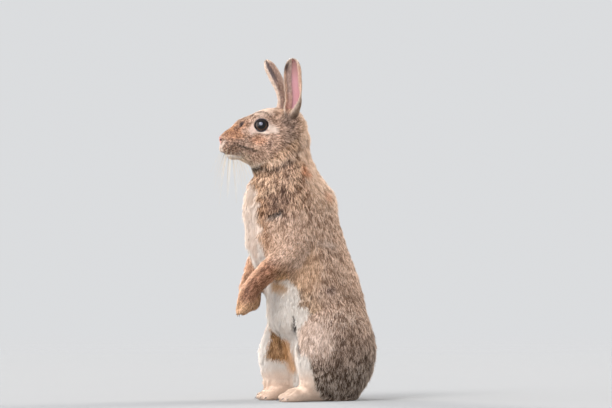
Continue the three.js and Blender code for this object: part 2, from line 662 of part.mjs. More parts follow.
// An ear: a leaf rolled into a cup, nearly closed at the root and open towards the tip.
function ear(name) {
  const axis = new THREE.CatmullRomCurve3(earAxis[name], false, "catmullrom", 0.5);
  const sections = Array.from({ length: EAR.rows + 1 }, (_, row) => {
    const t = 1 - (1 - row / EAR.rows) ** 1.6;
    const at = axis.getPoint(t);
    const along = axis.getTangent(t);
    const out = earMouth[name].clone().addScaledVector(along, -earMouth[name].dot(along)).normalize();
    const side = along.clone().cross(out);
    const { from, power } = EAR.taper;
    const taper = Math.max(t - from, 0) / (1 - from);
    const spread = lerp(EAR.root, 1, smoothstep(t, 0, from));
    const width = EAR.width * spread * Math.sqrt(Math.max(1 - taper ** power, 0.02));
    const roll = rad(lerp(EAR.roll.root, EAR.roll.tip, smoothstep(t, 0.05, 0.75)));
    const radius = width / Math.sin(Math.min(roll, Math.PI / 2));
    const sink = Math.min(radius, width) * 0.45;
    const edge = (share, inset) => {
      const thick = lerp(EAR.thick, EAR.rim, Math.max(t, share * share));
      const r = radius - inset * thick;
      return at.clone()
        .addScaledVector(out, -r * Math.cos(share * roll) + sink + (radius - width) * 0.8)
        .addScaledVector(side, r * Math.sin(share * roll));
    };
    const shares = Array.from({ length: EAR.columns + 1 }, (_, n) => (2 * n) / EAR.columns - 1);
    return [...shares.map((s) => edge(s, 1)), ...shares.reverse().map((s) => edge(s, 0))];
  });
  return solidOf(new LoftGeometry(sections, { capStart: true, capEnd: true }));
}

const [headClaim] = claims;
const crown = fleshOf(headForms);
const headBed = solidOf(netOf((p) => crown(p) - EAR.gap, headClaim.box, headClaim.cell));
for (const { name } of SIDES) {
  pieces.set(`ear_${name}`, { solid: largest(ear(name).subtract(headBed)), color: COAT.ear });
}

// ---------------------------------------------------------------- the group

const rabbit = new THREE.Group();
for (const [name, { solid, color }] of pieces) {
  const roughness = name.startsWith("eye") ? 0.08 : 0.85;
  const material = new THREE.MeshStandardMaterial({ color, roughness, metalness: 0 });
  const mesh = new THREE.Mesh(geometryOf(solid), material);
  mesh.name = name;
  rabbit.add(mesh);
}

// The origin is the middle of the box round the whole rabbit, at the floor.
const extent = new THREE.Box3().setFromObject(rabbit);
const middle = extent.getCenter(v(0, 0, 0));
rabbit.position.set(-middle.x, -middle.y, -extent.min.z);

export default rabbit;
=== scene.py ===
"""A wild rabbit sitting bolt upright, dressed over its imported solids.

It gets a skin, a coat, ears, eyes, claws and whiskers. Lengths are in metres unless a name says millimetres.
+Z is up, the rabbit looks along -X and its left side faces -Y.
"""

import itertools
import json
import logging
import math
from dataclasses import dataclass
from enum import Enum

import bpy
import numpy as np
from mathutils import Matrix, Vector
from mathutils.bvhtree import BVHTree

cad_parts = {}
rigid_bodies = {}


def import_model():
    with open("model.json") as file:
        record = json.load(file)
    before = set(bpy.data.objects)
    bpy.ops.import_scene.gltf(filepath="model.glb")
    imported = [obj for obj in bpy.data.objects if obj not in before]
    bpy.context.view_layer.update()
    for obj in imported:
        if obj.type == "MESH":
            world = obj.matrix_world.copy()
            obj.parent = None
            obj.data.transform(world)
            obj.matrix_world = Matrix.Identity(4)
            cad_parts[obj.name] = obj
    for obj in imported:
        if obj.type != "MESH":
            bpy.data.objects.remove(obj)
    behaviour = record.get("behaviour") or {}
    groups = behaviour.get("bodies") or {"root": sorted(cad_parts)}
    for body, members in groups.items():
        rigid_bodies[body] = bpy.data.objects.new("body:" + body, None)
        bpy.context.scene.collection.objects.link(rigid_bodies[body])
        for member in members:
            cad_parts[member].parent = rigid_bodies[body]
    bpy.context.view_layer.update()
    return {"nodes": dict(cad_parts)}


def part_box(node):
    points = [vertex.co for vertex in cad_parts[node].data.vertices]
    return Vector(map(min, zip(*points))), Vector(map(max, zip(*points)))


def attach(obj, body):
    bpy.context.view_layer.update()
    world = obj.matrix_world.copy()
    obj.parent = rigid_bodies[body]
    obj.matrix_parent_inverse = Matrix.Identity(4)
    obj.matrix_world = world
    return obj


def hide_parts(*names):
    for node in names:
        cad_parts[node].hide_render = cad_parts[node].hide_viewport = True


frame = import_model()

log = logging.getLogger("rabbit")
Array = np.ndarray
Piece = bpy.types.Object
Pair = tuple[float, float]
Triple = tuple[float, float, float]
MM = 0.001
UP = np.array([0.0, 0.0, 1.0])
BODY = "root"
SHADE = "Shade"  # the colour attribute that skin and coat share
SIDES = {"left": 1, "right": -1}


# --- numbers


def tone(code: str) -> Array:
    """Linear colour of a six-digit hex code."""
    parts = np.array([int(code[i:i + 2], 16) for i in (0, 2, 4)]) / 255
    return np.where(parts <= 0.04045, parts / 12.92, ((parts + 0.055) / 1.055) ** 2.4)


def unit(vectors: Array) -> Array:
    """Vectors of length one, along the last axis."""
    return vectors / np.maximum(np.linalg.norm(vectors, axis=-1, keepdims=True), 1e-12)


def lengths(vectors: Array) -> Array:
    """The lengths of n vectors."""
    return np.linalg.norm(vectors, axis=1)


def ramp(values: Array, start: float, end: float) -> Array:
    """0 at start and 1 at end, smooth between them.

    Args:
        values: Any numbers.
        start: Where the ramp is 0. It may be above end.
        end: Where the ramp is 1.
    """
    t = np.clip((values - start) / (end - start), 0, 1)
    return t * t * (3 - 2 * t)


def mixed(a: Array, b: Array, share: Array) -> Array:
    """Colours a and b mixed, with share 0 for a and 1 for b."""
    share = np.asarray(share)[..., None]
    return a * (1 - share) + b * share


def band(values: Array, start: float, full: float, fades: float, end: float) -> Array:
    """0 below start, 1 from full to fades and 0 above end, smooth between them."""
    return ramp(values, start, full) * ramp(values, end, fades)


class Grain:
    """Smooth random values over space that are the same on every run."""

    def __init__(self, seed: int) -> None:
        """Keeps the seed of the grid of random values."""
        self.seed = seed

    def at(self, points: Array, size: float) -> Array:
        """Values from 0 to 1.

        Args:
            points: n by 3 places.
            size: The distance over which the values change.
        """
        q = points / size
        cell = np.floor(q).astype(np.int64)
        part = q - cell
        part = part * part * (3 - 2 * part)
        total = np.zeros(len(points))
        for corner in itertools.product((0, 1), repeat=3):
            at = cell + corner
            mix = (at[:, 0] * 73856093) ^ (at[:, 1] * 19349663) ^ (at[:, 2] * 83492791) ^ (self.seed * 7919)
            mix = ((mix ^ (mix >> 13)) * 1274126177) & 0x7FFFFFFF
            weight = np.prod(np.where(np.array(corner) > 0, part, 1 - part), axis=1)
            total += weight * ((mix ^ (mix >> 15)) & 0xFFFF) / 0xFFFF
        return total


# --- stance


@dataclass(frozen=True)
class Frame:
    """A frame on the spine: ahead of the rabbit, to its left, and up from the floor."""

    x: float
    y: float
    yaw: float

    @property
    def ahead(self) -> Array:
        """The way this part of the body faces."""
        return np.array([-math.cos(math.radians(self.yaw)), -math.sin(math.radians(self.yaw)), 0.0])

    @property
    def left(self) -> Array:
        """The way to its left."""
        return np.array([math.sin(math.radians(self.yaw)), -math.cos(math.radians(self.yaw)), 0.0])

    def place(self, ahead: float, left: float, height: float) -> Array:
        """A point from millimetres ahead, to the left, and above the floor."""
        middle = np.array([self.x, self.y, height * MM])
        return middle + self.ahead * ahead * MM + self.left * left * MM

    def local(self, points: Array) -> Array:
        """Millimetres ahead, to the left, and above the floor of n by 3 points."""
        away = points - np.array([self.x, self.y, 0.0])
        return np.stack([away @ self.ahead, away @ self.left, points[:, 2]], axis=1) / MM


@dataclass(frozen=True)
class Stance:
    """How the rabbit sits. Millimetres and degrees, as its solids were made, before they were centred."""

    hip_yaw: float = 35.0
    chest_yaw: float = 22.2
    head_yaw: float = 10.0
    head_height: float = 305.0
    hip_middle: Pair = (30.0, 7.5)
    chest_middle: Pair = (-3.0, -9.0)
    skull_middle: Pair = (-30.0, -15.0)
    eye: Triple = (15.3, 13.2, 9.8)
    eye_radius: float = 9.2
    heels: Pair = (-4.0, -14.0)
    foot_length: float = 88.0
    foot_aside: float = 29.0
    hind_toe: float = 6.4  # distance between toes
    fore_toe: float = 4.7
    spine_heights: tuple[float, ...] = (0.07, 0.088, 0.110, 0.145, 0.178, 0.216, 0.273)  # metres
    spine_xs: tuple[float, ...] = (0.030, 0.022, 0.0195, 0.0125, 0.0, -0.0095, -0.015)

    @property
    def shift(self) -> Array:
        """From the place the solids were made in to where they stand now, read from an eye."""
        low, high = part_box("eye_left")
        raw = Frame(*(c * MM for c in self.skull_middle), self.head_yaw)
        ahead, left, up = self.eye
        return (np.array(low) + np.array(high)) / 2 - raw.place(ahead, left, self.head_height + up)

    def frame(self, middle: Pair, yaw: float) -> Frame:
        """The frame of a region from its middle and yaw."""
        return Frame(middle[0] * MM + self.shift[0], middle[1] * MM + self.shift[1], yaw)

    @property
    def hips(self) -> Frame:
        """The frame of the hips."""
        return self.frame(self.hip_middle, self.hip_yaw)

    @property
    def chest(self) -> Frame:
        """The frame of the chest."""
        return self.frame(self.chest_middle, self.chest_yaw)

    @property
    def skull(self) -> Frame:
        """The frame of the head."""
        return self.frame(self.skull_middle, self.head_yaw)

    def in_head(self, ahead: float, left: float, up: float) -> Array:
        """A point from millimetres in the head's frame, with up from the middle of the skull."""
        return self.skull.place(ahead, left, self.head_height + up)

    def head_local(self, points: Array) -> Array:
        """Millimetres ahead, to the left and up from the middle of the skull."""
        return self.skull.local(points) - np.array([0, 0, self.head_height])

    def eye_place(self, sign: int) -> Array:
        """The middle of an eye."""
        ahead, left, up = self.eye
        return self.in_head(ahead, sign * left, up)

    def gaze(self, sign: int) -> Array:
        """Outwards from an eye: a little ahead and up."""
        return unit(self.skull.left * sign + self.skull.ahead * 0.22 + np.array([0, 0, 0.16]))

    def foreleg(self, sign: int) -> list[Array]:
        """A foreleg's line from the shoulder past the elbow and wrist to the knuckles."""
        left = ((43, 30, 152), (65, 22, 128), (72, 20, 111))
        right = ((37, 30, 155), (48, 21, 129), (51, 18, 113))
        rows = ((18, 25, 208), (21, 34, 170), *(left if sign > 0 else right))
        return [self.chest.place(a, sign * s, h) for a, s, h in rows]

    def heel(self, sign: int) -> float:
        """How far ahead of the hips a heel is."""
        return self.heels[0] if sign > 0 else self.heels[1]

    def foot(self, sign: int) -> list[Array]:
        """A hind foot's line from the heel to the toes."""
        heel = self.heel(sign)
        shares = ((0.0, 12), (0.45, 9.5), (0.78, 7.5), (1.0, 4))
        return [self.hips.place(heel + self.foot_length * s, sign * self.foot_aside, h) for s, h in shares]

    def tail(self) -> list[Array]:
        """The tail's line from its root to its tip."""
        return [self.hips.place(a, 0, h) for a, h in ((-34, 18), (-48, 30), (-53, 48), (-53, 62))]

    def ear(self, sign: int) -> list[Array]:
        """The points that an ear's axis runs through, from its root to its tip."""
        left = ((-17, 10, 13), (-21, 12.5, 32), (-20.5, 15, 58), (-20, 17, 87))
        right = ((-17, -10, 13), (-15, -12, 32), (-9, -15, 58), (5, -18, 86))
        return [self.in_head(*point) for point in (left if sign > 0 else right)]

    def round_body(self, points: Array) -> Array:
        """Degrees round the trunk from its front, positive on the left, negative on the right."""
        x = np.interp(points[:, 2], self.spine_heights, self.spine_xs)
        y = 0.008 + (x - 0.031) * 0.5
        yaw = np.radians(np.interp(points[:, 2], (0.07, 0.305), (self.hip_yaw, self.head_yaw)))
        away = points[:, :2] - np.stack([x, y], 1) - self.shift[:2]
        ahead = -away[:, 0] * np.cos(yaw) - away[:, 1] * np.sin(yaw)
        left = away[:, 0] * np.sin(yaw) - away[:, 1] * np.cos(yaw)
        return np.degrees(np.arctan2(left, ahead))


def mouth_line(ahead: Array) -> Array:
    """How far up the line between the lips is at millimetres ahead, both in the head's frame."""
    return np.interp(ahead, (36, 44, 52, 60, 66), (-22.8, -23.9, -23.6, -20.4, -17.5))


def along_path(points: Array, path: list[Array], reach: float = 6 * MM) -> Array:
    """The direction of a path near each point.

    Args:
        points: n by 3 places.
        path: The corners of the path in order.
        reach: The distance over which neighbouring stretches share their directions.

    Returns:
        n by 3 unit vectors.
    """
    starts, ends = np.array(path[:-1]), np.array(path[1:])
    steps = ends - starts
    away = points[:, None] - starts
    share = np.clip((away * steps).sum(2) / (steps * steps).sum(1), 0, 1)
    gaps = np.linalg.norm(away - share[..., None] * steps, axis=2)
    weights = np.exp(-(gaps - gaps.min(axis=1, keepdims=True)) / reach)
    return unit(weights @ unit(steps))


# --- markings


class Place(Enum):
    """Where on the rabbit a stretch of skin is."""

    HEAD = 0
    NECK = 1
    TORSO = 2
    TAIL = 3
    FORELEG_LEFT = 4
    FORELEG_RIGHT = 5
    FOREPAW_LEFT = 6
    FOREPAW_RIGHT = 7
    HINDLEG_LEFT = 8
    HINDLEG_RIGHT = 9
    HINDFOOT_LEFT = 10
    HINDFOOT_RIGHT = 11
    EAR_LEFT = 12
    EAR_RIGHT = 13

    @property
    def node(self) -> str:
        """The solid it belongs to."""
        return self.name.lower()

    @property
    def part(self) -> str:
        """The part of the body that it belongs to, without its side."""
        return self.name.split("_")[0]

    @property
    def sign(self) -> int:
        """-1 on the right side, else 1."""
        return -1 if self.name.endswith("RIGHT") else 1

    @staticmethod
    def among(places: Array, *parts: str) -> Array:
        """Which of n values of Place belong to the named parts."""
        return np.isin(places, [place.value for place in Place if place.part in parts])


@dataclass(frozen=True)
class Patch:
    """A soft-edged marking on both sides of the head. Millimetres in the head's frame and degrees."""

    at: Pair  # ahead and up of its middle
    size: Pair  # half sizes along and across it
    colour: str  # hex code
    turn: float = 0.0  # degrees that its long side is turned up at the front
    strength: float = 1.0  # share of the colour at its middle
    inside: float = 0.0  # millimetres from the middle plane that it starts at
    soft: float = 0.5  # share of its size over which it fades

    def weight(self, local: Array) -> Array:
        """How much of this marking shows at points of the head's frame."""
        a = local[:, 0] - self.at[0]
        u = local[:, 2] - self.at[1]
        c, s = math.cos(math.radians(self.turn)), math.sin(math.radians(self.turn))
        out = np.hypot((a * c + u * s) / self.size[0], (u * c - a * s) / self.size[1])
        weight = ramp(out, 1 + self.soft, 1 - self.soft) * self.strength
        if self.inside:
            weight = weight * ramp(np.abs(local[:, 1]), self.inside - 2, self.inside + 1)
        return weight


# Markings of the face, with painted shade in its creases, in the order in which they are laid over each
# other: middle, half sizes, colour, turn, strength, how far from the middle plane they start, and softness.
FACE = tuple(Patch(*row) for row in (
    ((42, 4), (18, 9), "b47c54", -20, 0.85),  # side and bridge of the nose
    ((13, 27.5), (15, 6.5), "f0d4c2", -4, 0.9),  # crown over the eye
    ((5, -14), (20, 15), "b7937d", 0, 0.6, 8),  # cheek
    ((-16, -8), (8, 22), "8c7262", 0, 0.8, 6),  # behind the cheek, under the ear
    ((-13, 17), (6, 7), "5f493b", 0, 0.75, 8),  # in front of the ear's foot
    ((-21, 9), (3.5, 7), "5a4436", 30, 0.7, 6),  # below the ear's foot
    ((50, -15), (10, 8), "84624a", 0, 0.85),  # whisker pad
    ((33, 4), (5.5, 4.5), "d6b5a1", 0, 0.75, 4),  # pale between nose and eye
    ((43, -31.5), (13, 4.5), "dcc4ac", 0, 0.9),  # chin
    ((61.5, -19), (2.0, 3.5), "e2cfc0", 0, 0.75),  # front of the upper lip
    ((49, -25.2), (11, 1.7), "efe3d8", 3, 0.95),  # white edge of the upper lip
    ((59.9, -11.6), (6.2, 1.5), "e9d0c0", -66, 0.8),  # white edge behind the nostril
    ((33, -15.6), (15, 1.5), "3e2a1c", 18, 0.9, 4),  # painted shade in the crease behind the whisker pad
    ((42.5, -5.8), (5, 0.9), "553b2c", 20, 0.75, 4),  # painted shade in a short crease beside the nose
    ((27.5, -27), (1.5, 5), "6b4e3d", 0, 0.5, 3),  # painted shade in the corner of the mouth
    ((15.6, 10.4), (13.0, 10.0), "d0b09e", 0, 0.95, 6, 0.25),  # pale ring round the eye
    ((4.6, 6.4), (5.4, 4), "f2dccd", 28, 1.0, 6),  # white corner behind the eye
    ((26, 5.6), (3.4, 5), "efd5c7", 15, 0.95, 6),  # white corner before the eye
    ((15, 2.4), (9, 1.8), "ead3c2", 0, 0.9, 6),  # pale lower lid
    ((16, 0.2), (8.5, 0.9), "6b4833", 3, 0.85, 6),  # painted shade in the fold under the lid
    ((23.8, 22.3), (4.8, 0.9), "4a3026", -36, 1.0, 3),  # brow, front
    ((17.2, 24.9), (4.6, 0.9), "4a3026", -10, 1.0, 3),  # brow, over the eye
    ((10.8, 24.2), (3.8, 0.9), "54392c", 22, 0.95, 3),  # brow, behind
    ((7.0, 21.2), (2.8, 1.0), "6a4d3e", 55, 0.7, 3),  # end of the brow
    ((38.7, 11.8), (4.6, 1.9), "3c2b25", -41, 0.95, 3),  # dark fleck on the bridge
    ((45.5, 8.2), (2.6, 1.0), "5b443a", -30, 0.7, 2),  # lesser fleck before it
    ((31.5, 11), (3.6, 1.4), "6b4f40", 70, 0.65, 5),  # dark before the eye
    ((28.5, -2.4), (3.8, 1.5), "664e40", 5, 0.65, 5),  # flecks under its corner
    ((20, -6.8), (8.5, 5), "c68d6c", 10, 0.65, 8),  # rufous patch under the eye
    ((7, -10), (2.6, 3), "6b4b3a", 20, 0.75, 10),  # dark spot on the cheek
))

# Markings and painted shadows where the jaw meets the neck, laid over both.
JAW = tuple(Patch(*row) for row in (
    ((0, -32.6), (16, 3.0), "d6b8a0", 0, 0.8, 5),  # pale edge of the jaw
    ((-15, -26), (9, 3.2), "cbac96", -36, 0.7, 8),  # its end behind the cheek
    ((19, -39.8), (10, 3.0), "352418"),  # shadow under the throat
    ((1, -40.0), (9, 2.6), "47301f", -14, 0.9, 6),  # shadow under the jaw
    ((-13, -33.2), (8, 2.8), "432e20", -28, 0.8, 8),  # shadow behind it
))

PAD = Patch((48, -14), (16, 13), "")  # where the whisker pad is ticked more strongly
NOSE_TIP = np.array([62.5, 0, -6.0])


@dataclass(frozen=True)
class Mark:
    """A soft-edged marking of the body, or a fold whose dark colour is painted shade. Millimetres in the
    hips' or the chest's frame.
    """

    # ahead, aside and up of the points that it runs through, or of its one middle
    path: tuple[Triple, ...]
    size: Triple  # how far it reaches from the path: ahead, aside and up
    colour: str  # hex code
    strength: float = 1.0  # share of the colour on its path
    soft: float = 0.5  # share of its size over which it fades
    hips: bool = False  # whether the frame is that of the hips
    sink: float = 0.0  # how deep the skin sinks along it
    both: bool = True  # whether the right side has it too

    def weight(self, stance: "Stance", points: Array) -> Array:
        """How much of this marking shows at n by 3 places."""
        local = (stance.hips if self.hips else stance.chest).local(points)
        local[:, 1] = np.abs(local[:, 1]) if self.both else local[:, 1]
        local = local / self.size
        path = np.array(self.path, float) / self.size
        gap = lengths(local - path[0])
        for start, end in zip(path[:-1], path[1:]):
            step = end - start
            share = np.clip((local - start) @ step / (step @ step), 0, 1)
            gap = np.minimum(gap, lengths(local - start - share[:, None] * step))
        return ramp(gap, 1 + self.soft, 1 - self.soft) * self.strength


# Markings of the body, and folds darkened by painted shade, in the order in which they are laid over each
# other.
BODY_MARKS = (
    # warm behind the elbow
    Mark(((4, 44, 152),), (17, 20, 24), "dcb18c", 0.6),
    # tan spot under the elbow
    Mark(((34, 15, 131), (28, 25, 128)), (10, 6, 5.5), "cf9c63", 0.85, soft=0.9),
    # pale hair over the top of the chest
    Mark(((61.5, 0, 226), (58.6, 8, 232), (54, 16, 235.5), (47.5, 23.5, 239), (38, 31, 242.5)), (7, 7, 3.0),
         "c4a387", 0.4),
    # rusty spots before the nape and under the hump
    Mark(((1.6, 33, 263), (-2, 33, 260)), (5, 8, 5), "c47c52", 0.7, both=False),
    Mark(((-27.4, 32, 234.6),), (6, 8, 6), "d89c7a", 0.7, both=False),
    # light over the flank's fold, and a dark spot on the flank
    Mark(((-20, 45, 181), (-31, 43, 176)), (8, 8, 4), "dcc3b4", 0.65, both=False),
    Mark(((-23, 48, 126.5),), (7, 7, 5), "7d6660", 0.65, both=False),
    # fold under the hump, darkened by painted shade
    Mark(((-5.7, 36.3, 249.5), (-13.2, 36.4, 245), (-21.4, 34.6, 239)), (2.0, 5, 1.6), "6b4a3a", 0.35,
         sink=1.0, both=False),
    # fold of the flank, darkened by painted shade
    Mark(((-10.9, 45, 180.5), (-20, 44.2, 172.5), (-30.8, 42, 168), (-41, 37.8, 164.4)), (2.0, 5, 1.6),
         "6b5549", 0.3, sink=1.2, both=False),
    # white between the forelegs
    Mark(((49, 12, 172), (47, 9, 160)), (6, 6, 8), "f4ece4", 0.9),
    # pale under the shoulder's fold, and painted shade over the shoulder
    Mark(((44, 28, 209), (36, 33, 212)), (6, 6, 3.0), "b8a392", 0.6),
    Mark(((44, 31, 226), (34, 36, 229)), (12, 12, 9), "5f4635", 0.4, soft=0.9),
    # painted shade in the shoulder's fold: its faint front, and the deep crease behind that
    Mark(((55.2, 20, 210.4), (51.7, 25, 206.8), (47.5, 29.3, 210.4)), (2.5, 4, 1.2), "3a281d", 0.6),
    Mark(((47, 29.5, 211), (42, 33.6, 214.3), (36, 36.7, 216.8)), (3.5, 4, 2.0), "2a1c14", 0.95, sink=2.4),
    # orange between the legs
    Mark(((50, -8, 64), (46, -5, 50), (43, -5, 36)), (9, 5.5, 5), "d09a66", 0.85, 0.8, hips=True, both=False),
    # painted shadow in the fold between belly and near thigh
    Mark(((61.5, 24, 96), (60.5, 23, 89), (58, 21, 83), (54, 17, 77), (54.5, 18, 71), (58, 25, 66),
          (60.5, 31, 61), (62.2, 36.5, 55)), (6, 1.8, 2.8), "3d322f", 0.9, hips=True, sink=2.2, both=False),
    # painted shade in the fold between belly and far thigh
    Mark(((57, -32, 88), (60, -18, 85)), (6, 2.4, 1.3), "6b5a50", 0.55, hips=True, sink=1.2, both=False),
)


@dataclass
class Stretch:
    """A stretch of skin and the look of its coat."""

    points: Array  # n by 3 places on the skin
    normals: Array  # n by 3 outward directions
    wobble: Array  # n numbers round 0 that make the edges of its markings uneven
    colour: Array  # n by 3 linear colours
    ticking: Array  # how strongly it is ticked, from 0, plain, to 1 and above, agouti
    sign: int = 1  # 1 on the left side and -1 on the right

    def start(self, code: str) -> None:
        """Gives all of it one colour."""
        self.colour = np.tile(tone(code), (len(self.points), 1))

    def lay(self, code: str, share: Array) -> None:
        """Lays a colour over it by its share."""
        self.colour = mixed(self.colour, tone(code), share)

    def mark(self, code: str, share: Array) -> None:
        """Lays a marking over it. A pale one is ticked less."""
        pale = float(ramp(tone(code).mean(), 0.25, 0.5))
        self.lay(code, share)
        self.ticking = self.ticking * (1 - 0.65 * pale * share)

    def part(self, here: Array, sign: int) -> "Stretch":
        """The share of it where here is true, with the sign of its side."""
        rows = (self.points, self.normals, self.wobble, self.colour, self.ticking)
        return Stretch(*(row[here] for row in rows), sign)


class Markings:
    """The colours of the coat, the same for skin and tufts."""

    FLANK = "d6b49e"
    RUMP = "8c7465"
    DARK = "776558"
    PALE = "faf0e7"
    CHEST = "fbe4d4"
    NECK = "b08b70"
    SHOULDER = "7d5b44"
    NAPE_RIM_LIGHT = "fdd9bf"
    NAPE_INSIDE = "82644c"
    RUST = "c68c66"
    BIB_EDGE = "b98a66"
    BELLY_EDGE = "bf9b78"
    HEAD = "a98975"
    CROWN = "b39079"
    THROAT = "d9c8b8"
    NOSE = "d39d8d"
    LEG = "986a4f"
    ELBOW = "967256"
    LEG_UNDER = "cf9f6e"
    LEG_EDGE_HIGHLIGHT = "f2bf9f"
    LEG_INSIDE = "d9ac88"
    PAW = "efbf96"
    HAUNCH = "dcc2b2"
    TAN = "9c6e3a"
    TAN_SHADE = "5f4630"
    FOOT = "fadcc6"
    HEEL = "57483e"
    FOLD_SHADE = "2a1f1a"
    EAR_BACK = "ad8e80"
    EAR_ROOT = "6c5446"
    EAR_RIM = "ecd2bf"
    EAR_PINK = "ac787b"
    EAR_EDGE = "3c2e2b"

    # Heights of the pale front's edge, and how many degrees round the body it lies there.
    FRONT_HEIGHTS = (60, 85, 100, 115, 126, 138, 150, 165, 185, 200, 225, 234, 242, 256)
    FRONT_EDGE = (60, 50, 47, 43, 40, 30, 19, 14, 20, 18, 16, 12, 4, -8)
    # The same for the edge of the nape's painted rim light, and how far ahead of the hips the white of the
    # shin starts.
    NAPE_HEIGHTS, NAPE_EDGE = (212, 236, 252, 264), (116, 104, 104, 115)
    SHIN_HEIGHTS, SHIN_EDGE = (6, 17, 29, 43, 52, 60), (38, 46, 50, 53, 57, 60)
    # Small, large and tiny flecks: share of the finer grain, and each grain's offset and size.
    FLECKS = ((0.65, 0, 1.7, 0.1, 1.0), (0.65, 0.3, 2.0, 0.2, 1.2), (0.6, 0.5, 1.1, 0.4, 0.7))

    def __init__(self, stance: Stance) -> None:
        """Keeps the stance that the markings follow."""
        self.stance = stance
        self.wide = Grain(3)
        self.fine = Grain(5)
        self.over = 3.5 * MM  # height of the coat's surface over the skin

    def ground(self, points: Array, normals: Array, places: Array) -> tuple[Array, Array]:
        """The coat's colour, and how strongly it is ticked.

        Args:
            points: n by 3 places on the skin.
            normals: n by 3 outward directions.
            places: The value of Place at each of them.

        Returns:
            n by 3 linear colours, and n shares of ticking.
        """
        wobble = (self.wide.at(points, 14 * MM) - 0.5) + 0.5 * (self.wide.at(points, 5 * MM) - 0.5)
        whole = Stretch(points, normals, wobble, np.zeros_like(points), np.ones(len(points)))
        self.trunk(whole)
        painters = {
            "HEAD": self.head, "NECK": self.jaw, "TAIL": self.tail, "FORELEG": self.foreleg,
            "FOREPAW": self.foreleg, "HINDLEG": self.haunch, "HINDFOOT": self.foot}
        for place in Place:
            here = places == place.value
            if place.part in painters and here.any():
                coat = whole.part(here, place.sign)
                painters[place.part](coat)
                whole.colour[here], whole.ticking[here] = coat.colour, coat.ticking
        away = ~Place.among(places, "HEAD", "FORELEG", "FOREPAW")
        shaken = points + normals * self.over + (self.wide.at(points, 4 * MM) - 0.5)[:, None] * 2.5 * MM
        for mark in BODY_MARKS:
            whole.mark(mark.colour, mark.weight(self.stance, shaken) * away)
        return whole.colour, whole.ticking

    def fold_at(self, points: Array, normals: Array) -> Array:
        """How deep in a fold of the body points of the skin lie, from 0 to 1, and so how much painted shade
        the coat gets there.
        """
        over = points + normals * self.over
        return np.max([mark.weight(self.stance, over) for mark in BODY_MARKS if mark.sink > 2], axis=0)

    def trunk(self, coat: Stretch) -> None:
        """Colours neck, chest, flanks, back and belly, with a painted rim light along the nape."""
        z = coat.points[:, 2] / MM + coat.wobble * 6
        turned = np.abs(self.stance.round_body(coat.points)) + coat.wobble * 16
        coat.start(self.FLANK)
        coat.lay(self.RUMP, ramp(z, 150, 92) * 0.85)
        coat.lay(self.RUMP, ramp(turned, 135, 170) * ramp(z, 235, 190) * 0.5)
        upper = ramp(z, 206, 224) * ramp(turned, 125, 95)
        coat.lay(self.NECK, upper)
        shoulder = band(z, 200, 214, 236, 250) * ramp(turned, 84, 58)
        coat.lay(self.SHOULDER, shoulder * 0.9)
        coat.lay(self.RUST, band(turned, 98, 116, 134, 150) * band(z, 228, 242, 268, 282) * 0.75)
        coat.lay(self.NAPE_INSIDE, band(turned, 84, 98, 114, 124) * ramp(z, 256, 270) * 0.75)
        # painted rim light: the back of the neck painted pale cream
        nape = ramp(turned - np.interp(z, self.NAPE_HEIGHTS, self.NAPE_EDGE), 0, 12) * ramp(z, 208, 226)
        coat.lay(self.NAPE_RIM_LIGHT, nape * 0.95)
        edge_at = np.interp(z, self.FRONT_HEIGHTS, self.FRONT_EDGE)
        front = ramp(turned, edge_at + 8, edge_at - 3)
        rusty = ramp(turned, edge_at + 26, edge_at + 7) * (1 - front)
        coat.lay(self.BELLY_EDGE, rusty * band(z, 92, 104, 138, 150) * 0.55)
        coat.lay(self.BIB_EDGE, rusty * ramp(z, 165, 185) * 0.55)
        pale = mixed(tone(self.CHEST), tone(self.PALE), ramp(z, 175, 150))
        coat.colour = mixed(coat.colour, pale, front)
        ticking = (1 + 0.5 * np.maximum(upper, shoulder)) * (1 - 0.2 * nape)
        coat.ticking = ticking * (1 - 0.88 * front) + 0.12 * front

    def jaw(self, coat: Stretch, local: Array | None = None) -> None:
        """Lays the jaw's markings and painted shadows over head or neck, at its own or other points of the
        head's frame.
        """
        local = self.stance.head_local(coat.points) if local is None else local
        for patch in JAW:
            coat.mark(patch.colour, patch.weight(local))

    def head(self, coat: Stretch) -> None:
        """Colours face, cheeks, chin, crown and nose, and blends them into the neck's own colour."""
        neck, ticked = coat.colour, coat.ticking
        local = self.stance.head_local(coat.points)
        warped = local + coat.wobble[:, None] * np.array([2.6, 0.0, 2.2])
        ahead, up = warped[:, 0], warped[:, 2]
        coat.start(self.HEAD)
        coat.lay(self.CROWN, ramp(up, 14, 24) * ramp(ahead, 34, 20) * 0.7)
        coat.lay(self.THROAT, ramp(up, -30, -38) * ramp(ahead, 2, 12) * 0.9)
        for patch in FACE:
            coat.lay(patch.colour, patch.weight(warped))
        coat.ticking = (1.1 + 0.3 * PAD.weight(local)) * (1 - 0.8 * ramp(coat.colour.mean(1), 0.36, 0.60))
        self.jaw(coat, warped)
        nape = ramp(local[:, 0], -24, -34)
        coat.colour = mixed(coat.colour, neck, nape)
        coat.ticking = coat.ticking * (1 - nape) + ticked * nape
        coat.lay(self.NOSE, ramp(lengths(local - NOSE_TIP), 6.2, 4.2))

    def foreleg(self, coat: Stretch) -> None:
        """Colours a foreleg: like the flank above, rusty from the elbow down, with a painted highlight on its
        upper edge.
        """
        local = self.stance.chest.local(coat.points)
        own = ramp(local[:, 2] + coat.wobble * 8 - (local[:, 0] - 40) * 0.5, 166, 146)
        coat.lay(self.LEG, own)
        elbow = own * ramp(local[:, 2], 126, 136) * ramp(local[:, 0], 50, 34)
        coat.lay(self.ELBOW, elbow * 0.8)
        coat.lay(self.LEG_UNDER, ramp(coat.normals @ np.array([-0.45, 0, -0.9]), 0.25, 0.8) * own * 0.75)
